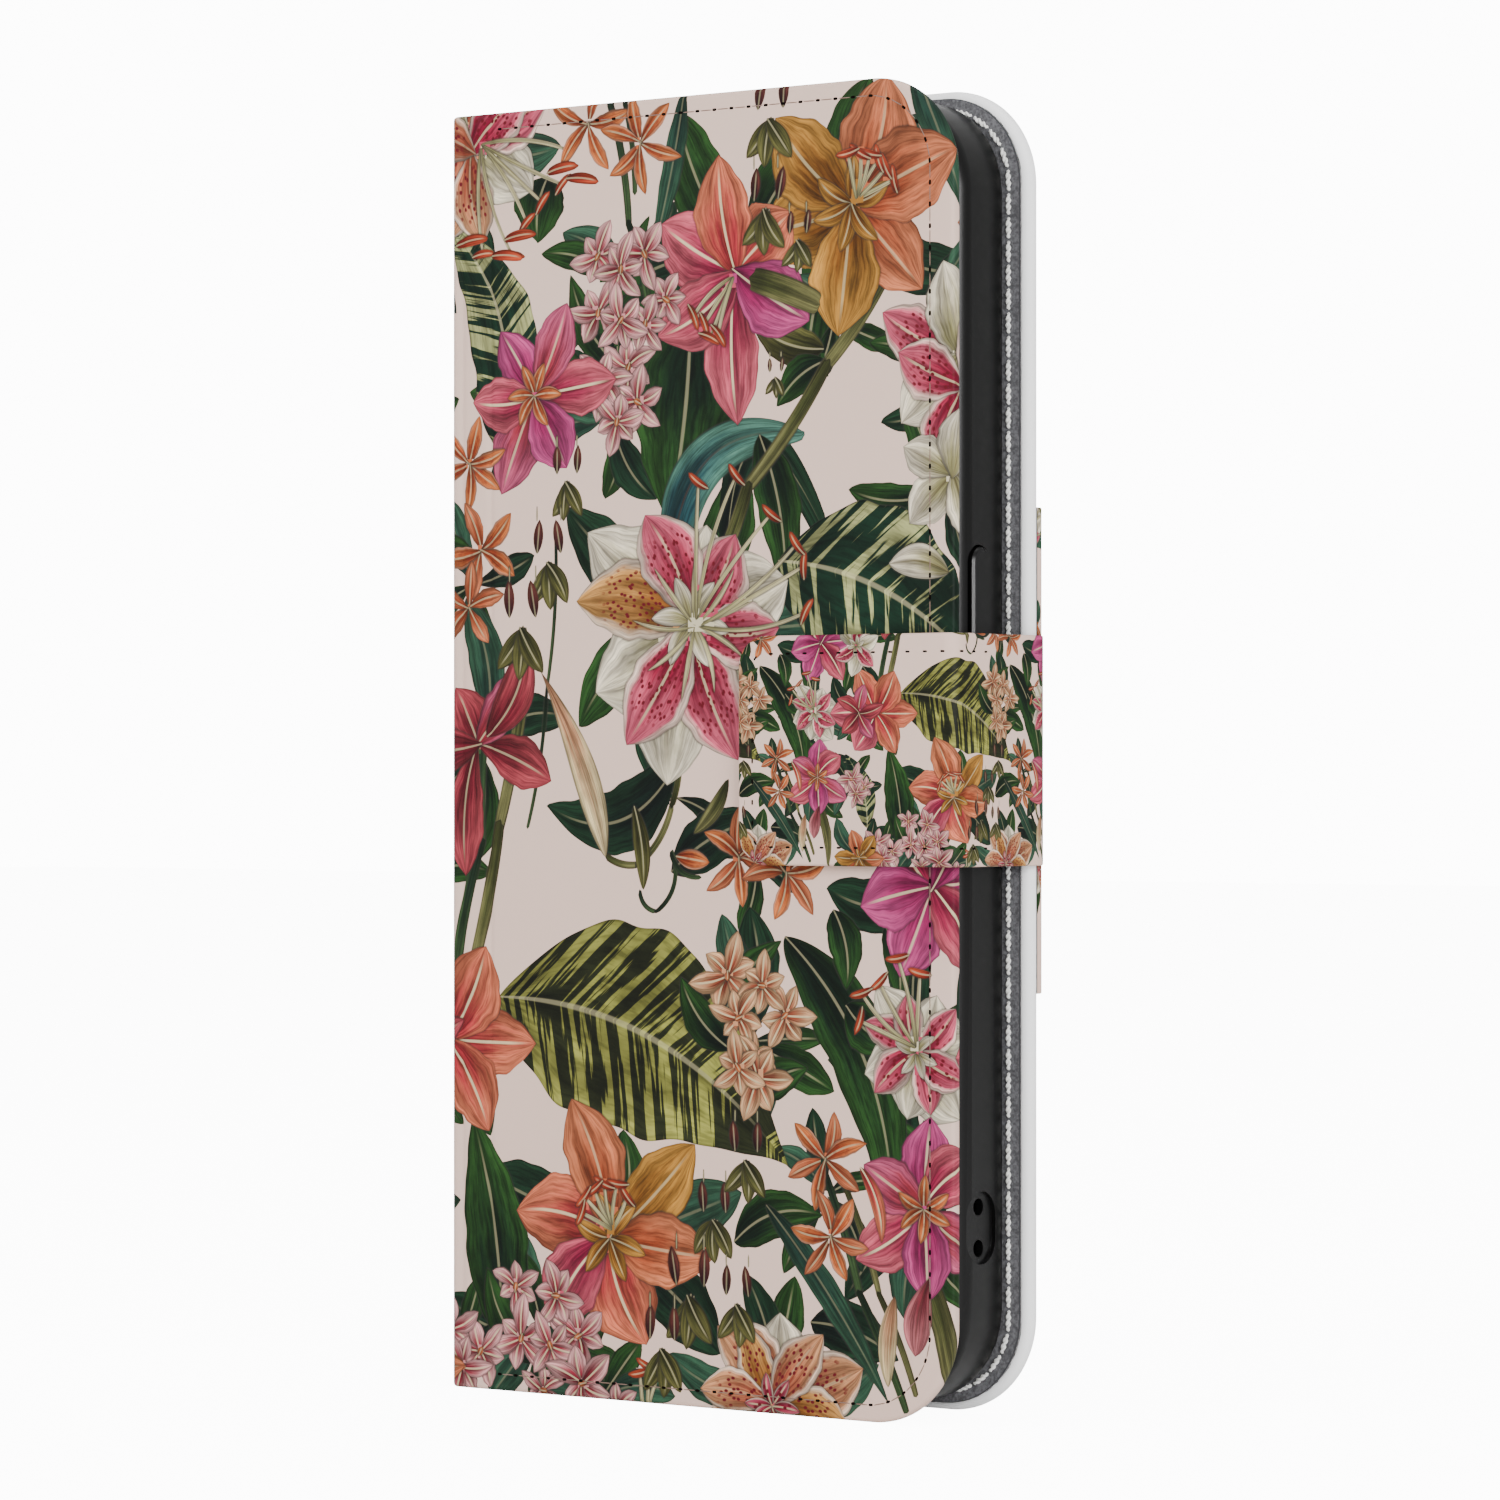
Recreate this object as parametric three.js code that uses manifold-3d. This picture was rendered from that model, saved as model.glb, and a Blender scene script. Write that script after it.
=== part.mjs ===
// Book-style wallet cover for a phone, standing closed on its lower edge.
// Millimetres. +X runs from the spine to the open side, +Y from the front cover to the back cover, +Z up.
// The origin is under the middle of the whole closed object, on the surface that it stands on.
// Each cover is a sandwich in Y: outer leather folded round a board, with a lining on the inside.

import * as THREE from "three";
import { mergeVertices } from "three/addons/utils/BufferGeometryUtils.js";
import Module from "manifold-3d";

const wasm = await Module();
wasm.setup();

// ---------- driving dimensions ----------

const PHONE = { width: 71, height: 161.5, thickness: 7.8, corner: 10.3 }; // the phone that the tray holds
const PHONE_CLEARANCE = { side: 0.15, depth: 0.2 };
const ARC_STEPS = 4; // half the number of chords in a quarter circle

const FRONT = { skin: 0.6, board: 0.6, lining: 0.5 };
const BACK = { skin: 0.8, board: 1.6, lining: 0.6 };
const SPINE = { skin: 0.7, board: 0.6, lining: 0.4 };
const COVER = { corner: 12.5, spineCorner: 1, endMargin: 1.5 }; // endMargin: past the tray's top and bottom
const RIM = 0.7; // leather turned up round a cover's board
const BOARD_CLEARANCE = 0.3; // board to the turned-up rim
const LINING_INSET = 0.3; // lining edge to the cover's edge
const CREASE = 1.5; // bare leather from a hinge line to the nearest board

const TRAY = {
  wall: 1.6, floor: 1.3, lip: 1.5, lipThickness: 1.2, frontRound: 3, backRound: 1,
  spineGap: 1.3, overhang: 3, // overhang: open edge of the covers past the tray
};
const PAD = { thickness: 0.3, inset: 2 }; // adhesive sheet between tray and back lining
const WINDOW = { width: 34, height: 40, corner: 6, fromSide: 2.4, fromTop: 5.9, step: 0.5 };

const BUTTON = { width: 4, proud: 0.6, clearance: 0.3, plunger: 0.1, depthShift: -0.7 };
const POWER = { length: 17, fromTop: 65.5 };
const VOLUME = { length: 12, gap: 4, fromTop: 48.5 };
const LANYARD = {
  diameter: 2.2, spacing: 5.2, fromBottom: 22.6, depthShift: -0.1, recess: 0.5, sideMargin: 2, endMargin: 0.9,
};
const PORT = { width: 13, height: 5 };
const SPEAKER = { width: 12, height: 2.2, offset: 19 };
const MICROPHONE = { diameter: 1.6, offset: -14 };

const CASH_POCKET = { thickness: 0.5, corner: 8, margin: 5 };
const CARD_POCKETS = { count: 3, height: 98, thickness: 0.5, corner: 3, firstStep: 8, step: 9, rise: 2 };
const CARD_ROOM = 1.7; // space between the pockets and the tray

const STRAP = {
  width: 29, skin: 0.4, core: 0.6, lining: 0.4, sideSkin: 0.5, sideLining: 0.6,
  clearance: 0.3, reach: 32, corner: 4, coreInset: 1.5,
};
const PATCH = { height: 61.5, width: 27, thickness: 0.7, corner: 5 };
const MAGNET = { diameter: 12, clearance: 0.3, fromEnd: 11 };
const KEEPER_DIAMETER = 16; // steel plate in the front board, under the strap's magnet

// ---------- levels and places worked out from them ----------

const frontThickness = FRONT.skin + FRONT.board + FRONT.lining;
const backThickness = BACK.skin + BACK.board + BACK.lining;
const spineThickness = SPINE.skin + SPINE.board + SPINE.lining;
const pocketThickness = CASH_POCKET.thickness + CARD_POCKETS.count * CARD_POCKETS.thickness;
const tabThickness = STRAP.skin + STRAP.core + STRAP.lining;
const sideThickness = STRAP.sideSkin + STRAP.sideLining;

const trayWidth = PHONE.width + 2 * PHONE_CLEARANCE.side + 2 * TRAY.wall;
const trayHeight = PHONE.height + 2 * PHONE_CLEARANCE.side + 2 * TRAY.wall;
const trayDepth = TRAY.lipThickness + PHONE.thickness + PHONE_CLEARANCE.depth + TRAY.floor;
const trayCorner = PHONE.corner + PHONE_CLEARANCE.side + TRAY.wall;
const coverWidth = spineThickness + TRAY.spineGap + trayWidth + TRAY.overhang;
const coverHeight = trayHeight + 2 * COVER.endMargin;
const wholeWidth = coverWidth + STRAP.clearance + sideThickness;
const wholeDepth = tabThickness + STRAP.clearance + frontThickness + pocketThickness + CARD_ROOM
  + trayDepth + PAD.thickness + backThickness + PATCH.thickness;

const spineFace = -wholeWidth / 2;
const openEdge = spineFace + coverWidth;
const middle = coverHeight / 2;
const tabOuter = -wholeDepth / 2;
const tabInner = tabOuter + tabThickness;
const frontFace = tabInner + STRAP.clearance;
const backFace = wholeDepth / 2 - PATCH.thickness;

const hingeX = spineFace + spineThickness / 2;
const frontHingeY = frontFace + frontThickness / 2;
const backHingeY = backFace - backThickness / 2;
const coverLeft = hingeX + CREASE;

const trayBack = backFace - backThickness - PAD.thickness;
const trayFront = trayBack - trayDepth;
const trayLeft = spineFace + spineThickness + TRAY.spineGap;
const trayRight = trayLeft + trayWidth;
const trayBottom = COVER.endMargin;
const trayTop = trayBottom + trayHeight;
const trayMidDepth = (trayFront + trayBack) / 2;
const buttonY = trayMidDepth + BUTTON.depthShift;

const sideInner = openEdge + STRAP.clearance;
const strapHingeX = sideInner + sideThickness / 2;
const tabHingeY = (tabInner + tabOuter) / 2;
const patchHingeY = backFace + PATCH.thickness / 2;
const tabEnd = openEdge - STRAP.reach;
const magnetX = tabEnd + MAGNET.fromEnd;
const strapBottom = middle - STRAP.width / 2;
const strapTop = middle + STRAP.width / 2;

// ---------- materials ----------

function finish(color, roughness, metalness = 0) {
  return new THREE.MeshStandardMaterial({ color, roughness, metalness });
}

const printedLeather = finish(0xcbbcb4, 0.55);
const suede = finish(0x8c8c8c, 0.95);
const board = finish(0xa89a86, 0.9);
const softBlack = finish(0x262626, 0.5);
const clearPad = finish(0xd8d8d4, 0.4);
const steel = finish(0x9a9a9a, 0.35, 1);

// ---------- shape helpers ----------

/** Rounded rectangle in (x, z), anticlockwise seen from -Y; radii: one number or {left, right}. */
function roundedRectangle(left, right, bottom, top, radii) {
  const { left: rl, right: rr } = typeof radii === "number" ? { left: radii, right: radii } : radii;
  const path = new THREE.Path();
  path.absarc(right - rr, bottom + rr, rr, -Math.PI / 2, 0);
  path.absarc(right - rr, top - rr, rr, 0, Math.PI / 2);
  path.absarc(left + rl, top - rl, rl, Math.PI / 2, Math.PI);
  path.absarc(left + rl, bottom + rl, rl, Math.PI, 1.5 * Math.PI);
  return path.getPoints(ARC_STEPS);
}

/** Outline of a cover, moved inwards by inset. */
function coverOutline(inset) {
  const radii = { left: COVER.spineCorner, right: COVER.corner - inset };
  return roundedRectangle(coverLeft + inset, openEdge - inset, inset, coverHeight - inset, radii);
}

/** Outline of the tray, moved inwards by inset. */
function trayOutline(inset) {
  return roundedRectangle(
    trayLeft + inset, trayRight - inset, trayBottom + inset, trayTop - inset, trayCorner - inset,
  );
}

/** Outline of the camera window, moved outwards by margin. */
function windowOutline(margin) {
  const right = trayRight - TRAY.wall - WINDOW.fromSide;
  const top = trayTop - TRAY.wall - WINDOW.fromTop;
  const left = right - WINDOW.width;
  const bottom = top - WINDOW.height;
  return roundedRectangle(
    left - margin, right + margin, bottom - margin, top + margin, WINDOW.corner + margin,
  );
}

/** Circle in (x, z). */
function circleOutline(x, z, diameter) {
  const path = new THREE.Path();
  path.absarc(x, z, diameter / 2, 0, 2 * Math.PI);
  return path.getPoints(2 * ARC_STEPS).slice(0, -1);
}

/** Closed solid through rings {outline, y}, in order of rising y, all with the same number of points. */
function loft(rings) {
  const count = rings[0].outline.length;
  const positions = rings.flatMap(({ outline, y }) => outline.flatMap((point) => [point.x, y, point.y]));
  const frontCap = THREE.ShapeUtils.triangulateShape(rings[0].outline, []);
  const last = (rings.length - 1) * count;
  const backCap = THREE.ShapeUtils.triangulateShape(rings.at(-1).outline, []);
  const faces = [...frontCap, ...backCap.map(([a, b, c]) => [last + a, last + c, last + b])];
  for (let ring = 0; ring < rings.length - 1; ring++) {
    for (let i = 0; i < count; i++) {
      const here = ring * count + i;
      const next = ring * count + ((i + 1) % count);
      faces.push([here, here + count, next + count], [here, next + count, next]);
    }
  }
  const geometry = new THREE.BufferGeometry();
  geometry.setAttribute("position", new THREE.Float32BufferAttribute(positions, 3));
  geometry.setIndex(faces.flat());
  return geometry;
}

/** Flat plate of one outline from y = near to y = far. */
const plate = (outline, near, far) => loft([{ outline, y: near }, { outline, y: far }]);

/** Prism that runs along X, from an outline in (y, z). */
function prismAlongX(outline, near, far) {
  const geometry = plate(outline, -far, -near); // turned a quarter about Z: (x, y) becomes (-y, x)
  return geometry.rotateZ(Math.PI / 2);
}

/** Prism that runs along Z, from an outline in (x, y). */
function prismAlongZ(outline, near, far) {
  const geometry = plate(outline, -far, -near); // turned a quarter about X: (y, z) becomes (z, -y)
  return geometry.rotateX(-Math.PI / 2);
}

/** Obround outline of a slot, centred on (x, z). */
function slotOutline(x, z, width, height) {
  const radius = Math.min(width, height) / 2 - 0.01; // leaves a short straight on each end
  return roundedRectangle(x - width / 2, x + width / 2, z - height / 2, z + height / 2, radius);
}

function toSolid(geometry) {
  const merged = mergeVertices(geometry);
  const vertProperties = new Float32Array(merged.attributes.position.array);
  const triVerts = new Uint32Array(merged.index.array);
  return new wasm.Manifold(new wasm.Mesh({ numProp: 3, vertProperties, triVerts }));
}

/** The geometry with each cutter taken out of it. */
function cut(geometry, ...cutters) {
  const solid = cutters.reduce((rest, cutter) => rest.subtract(toSolid(cutter)), toSolid(geometry));
  const { vertProperties, triVerts } = solid.getMesh();
  const result = new THREE.BufferGeometry();
  result.setAttribute("position", new THREE.Float32BufferAttribute(vertProperties, 3));
  result.setIndex([...triVerts]);
  return result;
}

/** Cutter that passes through the whole stack. */
const through = (outline) => plate(outline, -wholeDepth, wholeDepth);

const wallet = new THREE.Group();

function add(name, geometry, material) {
  geometry.computeVertexNormals();
  const mesh = new THREE.Mesh(geometry, material);
  mesh.name = name;
  wallet.add(mesh);
}

// ---------- back cover ----------

/** Leather pan of a cover: an outer face with its rim turned up round the board. */
function coverPan(outerFace, boardFace, liningFace) {
  const [near, far] = outerFace < liningFace ? [outerFace, liningFace] : [liningFace, outerFace];
  const [pocketNear, pocketFar] = outerFace < liningFace ? [boardFace, far] : [near, boardFace];
  return cut(plate(coverOutline(0), near, far), plate(coverOutline(RIM), pocketNear, pocketFar));
}

const backBoardOuter = backFace - BACK.skin;
const backLiningOuter = backBoardOuter - BACK.board;
const backLiningInner = backLiningOuter - BACK.lining;

const cameraHole = through(windowOutline(0));
const hiddenCameraHole = through(windowOutline(WINDOW.step)); // a little wider, in the layers between
const backBoard = plate(coverOutline(RIM + BOARD_CLEARANCE), backLiningOuter, backBoardOuter);
const backLining = plate(coverOutline(LINING_INSET), backLiningInner, backLiningOuter);
const adhesivePad = plate(trayOutline(PAD.inset), trayBack, backLiningInner);

add("back_skin", cut(coverPan(backFace, backBoardOuter, backLiningOuter), cameraHole), printedLeather);
add("back_board", cut(backBoard, hiddenCameraHole), board);
add("back_lining", cut(backLining, cameraHole), suede);
add("tray_adhesive_pad", cut(adhesivePad, hiddenCameraHole), clearPad);

// ---------- tray that holds the phone ----------

/** Tray shell: rounded outside, square cavity with an inward lip round its mouth. */
function trayShell() {
  const rings = [];
  for (let i = 0; i <= ARC_STEPS; i++) {
    const angle = (i / ARC_STEPS) * (Math.PI / 2);
    const inset = TRAY.frontRound * (1 - Math.sin(angle));
    rings.push({ outline: trayOutline(inset), y: trayFront + TRAY.frontRound * (1 - Math.cos(angle)) });
  }
  rings.push({ outline: trayOutline(0), y: trayBack - TRAY.backRound });
  rings.push({ outline: trayOutline(TRAY.backRound * 0.3), y: trayBack - TRAY.backRound * 0.3 });
  rings.push({ outline: trayOutline(TRAY.backRound), y: trayBack });
  const cavity = plate(trayOutline(TRAY.wall), trayFront + TRAY.lipThickness, trayBack - TRAY.floor);
  const mouth = plate(trayOutline(TRAY.wall + TRAY.lip), trayFront - TRAY.wall, trayFront + trayDepth / 2);
  return cut(loft(rings), cavity, mouth);
}

/** Slots for the buttons that lie in one side wall; side is +1 on the open side and -1 by the spine. */
function buttonSlots(side, keys) {
  const face = side > 0 ? trayRight : trayLeft;
  return keys.map(({ z, length }) =>
    prismAlongX(
      slotOutline(buttonY, z, BUTTON.width + 2 * BUTTON.clearance, length + 2 * BUTTON.clearance),
      face - 2 * TRAY.wall, face + 2 * TRAY.wall,
    ));
}

const powerKey = { z: trayTop - POWER.fromTop, length: POWER.length };
const volumeUpKey = { z: trayTop - VOLUME.fromTop, length: VOLUME.length };
const volumeDownKey = { z: volumeUpKey.z - VOLUME.length - VOLUME.gap, length: VOLUME.length };

/** Two holes for a hand loop, in a shallow recess near the foot of the open side. */
function lanyardEye() {
  const y = trayMidDepth + LANYARD.depthShift;
  const z = trayBottom + LANYARD.fromBottom;
  const width = LANYARD.diameter + 2 * LANYARD.sideMargin;
  const length = LANYARD.diameter + LANYARD.spacing + 2 * LANYARD.endMargin;
  const recess = prismAlongX(slotOutline(y, z, width, length), trayRight - LANYARD.recess, openEdge);
  const holes = [-1, 1].map((end) => {
    const hole = circleOutline(y, z + (end * LANYARD.spacing) / 2, LANYARD.diameter);
    return prismAlongX(hole, trayRight - 2 * TRAY.wall, openEdge);
  });
  return [recess, ...holes];
}

/** Openings in the tray's lower wall, and the microphone's in its upper wall. */
function endOpenings() {
  const low = [trayBottom - TRAY.wall, trayBottom + 2 * TRAY.wall];
  const high = [trayTop - 2 * TRAY.wall, trayTop + TRAY.wall];
  const centre = (trayLeft + trayRight) / 2;
  return [
    prismAlongZ(slotOutline(centre, trayMidDepth, PORT.width, PORT.height), ...low),
    prismAlongZ(slotOutline(centre + SPEAKER.offset, trayMidDepth, SPEAKER.width, SPEAKER.height), ...low),
    prismAlongZ(circleOutline(centre + MICROPHONE.offset, trayMidDepth, MICROPHONE.diameter), ...low),
    prismAlongZ(circleOutline(centre + MICROPHONE.offset, trayMidDepth, MICROPHONE.diameter), ...high),
  ];
}

add(
  "phone_tray",
  cut(
    trayShell(),
    cameraHole,
    ...buttonSlots(1, [powerKey]),
    ...buttonSlots(-1, [volumeUpKey, volumeDownKey]),
    ...lanyardEye(),
    ...endOpenings(),
  ),
  softBlack,
);

/** Button that fills its slot and stands proud of the wall, with a chamfered outer edge. */
function button(side, { z, length }) {
  const outer = side > 0 ? trayRight + BUTTON.proud : trayLeft - BUTTON.proud;
  const inner = side > 0 ? trayRight - TRAY.wall - BUTTON.plunger : trayLeft + TRAY.wall + BUTTON.plunger;
  const chamfer = BUTTON.proud / 2;
  const full = slotOutline(buttonY, z, BUTTON.width, length);
  const top = slotOutline(buttonY, z, BUTTON.width - 2 * chamfer, length - 2 * chamfer);
  const rings = side > 0
    ? [{ outline: top, y: -outer }, { outline: full, y: -outer + chamfer }, { outline: full, y: -inner }]
    : [{ outline: full, y: -inner }, { outline: full, y: -outer - chamfer }, { outline: top, y: -outer }];
  return loft(rings).rotateZ(Math.PI / 2);
}

add("power_button", button(1, powerKey), softBlack);
add("volume_up_button", button(-1, volumeUpKey), softBlack);
add("volume_down_button", button(-1, volumeDownKey), softBlack);

// ---------- spine ----------

const spineFront = frontHingeY + CREASE;
const spineBack = backHingeY - CREASE;

/** Upright strip of the spine from x = near to x = far, cut back by inset at its front and back. */
const spineStrip = (near, far, inset) =>
  prismAlongX(
    roundedRectangle(spineFront + inset, spineBack - inset, inset, coverHeight - inset, COVER.spineCorner),
    near, far,
  );

const spineBoardFace = spineFace + SPINE.skin;
const spineLiningFace = spineBoardFace + SPINE.board;
add("spine_skin", spineStrip(spineFace, spineBoardFace, 0), printedLeather);
add("spine_board", spineStrip(spineBoardFace, spineLiningFace, RIM + BOARD_CLEARANCE), board);
add("spine_lining", spineStrip(spineLiningFace, spineLiningFace + SPINE.lining, LINING_INSET), suede);

// ---------- front cover ----------

const frontBoardOuter = frontFace + FRONT.skin;
const frontLiningOuter = frontBoardOuter + FRONT.board;
const frontLiningInner = frontLiningOuter + FRONT.lining;
const keeperHole = circleOutline(magnetX, middle, KEEPER_DIAMETER + 2 * MAGNET.clearance);

add("front_skin", coverPan(frontFace, frontBoardOuter, frontLiningOuter), printedLeather);
add(
  "front_board",
  cut(plate(coverOutline(RIM + BOARD_CLEARANCE), frontBoardOuter, frontLiningOuter), through(keeperHole)),
  board,
);
add("front_lining", plate(coverOutline(LINING_INSET), frontLiningOuter, frontLiningInner), suede);
add(
  "closure_keeper_plate",
  plate(circleOutline(magnetX, middle, KEEPER_DIAMETER), frontBoardOuter, frontLiningOuter),
  steel,
);

const pocketLeft = coverLeft + CASH_POCKET.margin; // open edge, near the spine
const pocketRight = openEdge - CASH_POCKET.margin; // sewn edge
const cardLevel = frontLiningInner + CASH_POCKET.thickness;
add(
  "cash_pocket_panel",
  plate(
    roundedRectangle(
      pocketLeft, pocketRight, CASH_POCKET.margin, coverHeight - CASH_POCKET.margin,
      { left: COVER.spineCorner, right: CASH_POCKET.corner },
    ),
    frontLiningInner, cardLevel,
  ),
  suede,
);
for (let i = 0; i < CARD_POCKETS.count; i++) {
  const left = pocketLeft + CARD_POCKETS.firstStep + i * CARD_POCKETS.step;
  const bottom = middle + CARD_POCKETS.rise - CARD_POCKETS.height / 2;
  const top = bottom + CARD_POCKETS.height;
  const outline = roundedRectangle(left, pocketRight, bottom, top, CARD_POCKETS.corner);
  const level = cardLevel + i * CARD_POCKETS.thickness;
  add(`card_pocket_${i + 1}`, plate(outline, level, level + CARD_POCKETS.thickness), suede);
}

// ---------- closing strap ----------

const patchRight = strapHingeX - CREASE;
const patchOutline = roundedRectangle(
  patchRight - PATCH.width, patchRight, middle - PATCH.height / 2, middle + PATCH.height / 2,
  { left: PATCH.corner, right: COVER.spineCorner },
);
add("strap_base_patch", plate(patchOutline, backFace, backFace + PATCH.thickness), printedLeather);

/** Side strip of the strap from x = near to x = far. */
const strapSide = (near, far) =>
  prismAlongX(
    roundedRectangle(tabHingeY + CREASE, patchHingeY - CREASE, strapBottom, strapTop, 0.5), near, far,
  );
const sideSkinInner = sideInner + STRAP.sideLining;
add("strap_side_skin", strapSide(sideSkinInner, sideSkinInner + STRAP.sideSkin), printedLeather);
add("strap_side_lining", strapSide(sideInner, sideSkinInner), suede);

/** Outline of the strap's tab, moved inwards by inset. */
const tabOutline = (inset) =>
  roundedRectangle(
    tabEnd + inset, strapHingeX - CREASE - inset, strapBottom + inset, strapTop - inset,
    { left: STRAP.corner - inset, right: 0.5 },
  );
const tabCoreOuter = tabOuter + STRAP.skin;
const tabCoreInner = tabCoreOuter + STRAP.core;
const tabCore = plate(tabOutline(STRAP.coreInset), tabCoreOuter, tabCoreInner);
const magnet = plate(circleOutline(magnetX, middle, MAGNET.diameter), tabCoreOuter, tabCoreInner);
const magnetHole = circleOutline(magnetX, middle, MAGNET.diameter + 2 * MAGNET.clearance);

add("strap_tab_skin", plate(tabOutline(0), tabOuter, tabCoreOuter), printedLeather);
add("strap_tab_core", cut(tabCore, through(magnetHole)), board);
add("strap_tab_lining", plate(tabOutline(0), tabCoreInner, tabInner), suede);
add("strap_magnet", magnet, steel);

export default wallet;
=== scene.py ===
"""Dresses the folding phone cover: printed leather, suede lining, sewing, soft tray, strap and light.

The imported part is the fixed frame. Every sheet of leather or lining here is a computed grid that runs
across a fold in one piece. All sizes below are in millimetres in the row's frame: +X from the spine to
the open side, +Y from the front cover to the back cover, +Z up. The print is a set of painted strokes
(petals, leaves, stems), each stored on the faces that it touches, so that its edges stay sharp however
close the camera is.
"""

from __future__ import annotations

import logging
import math
from dataclasses import dataclass, field, replace
from enum import Enum
from functools import partial
from typing import Iterable, Sequence

import bpy
import numpy as np
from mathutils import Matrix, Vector

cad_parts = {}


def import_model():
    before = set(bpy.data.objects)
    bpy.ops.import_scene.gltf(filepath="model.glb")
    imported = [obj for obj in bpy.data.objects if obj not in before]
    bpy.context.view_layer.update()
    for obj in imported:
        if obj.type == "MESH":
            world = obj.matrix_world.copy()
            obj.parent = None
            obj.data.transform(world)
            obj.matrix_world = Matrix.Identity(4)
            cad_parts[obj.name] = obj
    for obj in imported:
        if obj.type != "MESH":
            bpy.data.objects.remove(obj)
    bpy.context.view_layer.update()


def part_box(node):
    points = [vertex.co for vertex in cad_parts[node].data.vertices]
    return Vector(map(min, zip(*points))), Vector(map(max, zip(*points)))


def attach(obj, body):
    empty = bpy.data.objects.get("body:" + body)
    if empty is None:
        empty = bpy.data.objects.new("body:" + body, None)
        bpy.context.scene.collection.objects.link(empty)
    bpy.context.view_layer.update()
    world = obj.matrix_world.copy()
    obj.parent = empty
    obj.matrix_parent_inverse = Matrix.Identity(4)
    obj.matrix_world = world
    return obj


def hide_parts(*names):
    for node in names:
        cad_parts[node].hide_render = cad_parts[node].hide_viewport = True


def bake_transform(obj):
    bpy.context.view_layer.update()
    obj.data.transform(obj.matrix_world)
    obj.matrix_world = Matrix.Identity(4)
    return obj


MM = 0.001
SEED = 71
LOG = logging.getLogger("scene")
Colour = tuple[float, float, float]
Array = np.ndarray


class Slot(Enum):
    """Material slots of the record."""

    PRINT = "printed_leather"
    LINING = "suede_lining"
    BOARD = "core_board"
    TRAY = "tray_rubber"
    ADHESIVE = "adhesive"
    STEEL = "plated_steel"


class Body(Enum):
    """Bodies of the record that pieces ride on."""

    BACK = "back_cover"
    SPINE = "spine"
    FRONT = "front_cover"
    SIDE = "strap_side"
    TAB = "strap_tab"
    POWER = "power_key"
    VOLUME_UP = "volume_up_key"
    VOLUME_DOWN = "volume_down_key"


def tint(red: int, green: int, blue: int) -> Colour:
    """Turns a screen colour into scene-linear light.

    Each channel c in 0..1 becomes c / 12.92 below 0.04045 and ((c + 0.055) / 1.055) ** 2.4 above.

    Args:
        red, green, blue: screen values from 0 to 255.

    Returns:
        The linear colour.
    """
    out = []
    for value in (red, green, blue):
        c = value / 255
        out.append(c / 12.92 if c <= 0.04045 else ((c + 0.055) / 1.055) ** 2.4)
    return out[0], out[1], out[2]


# ---------------------------------------------------------------------------------------------------
# Node trees
# ---------------------------------------------------------------------------------------------------


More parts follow.
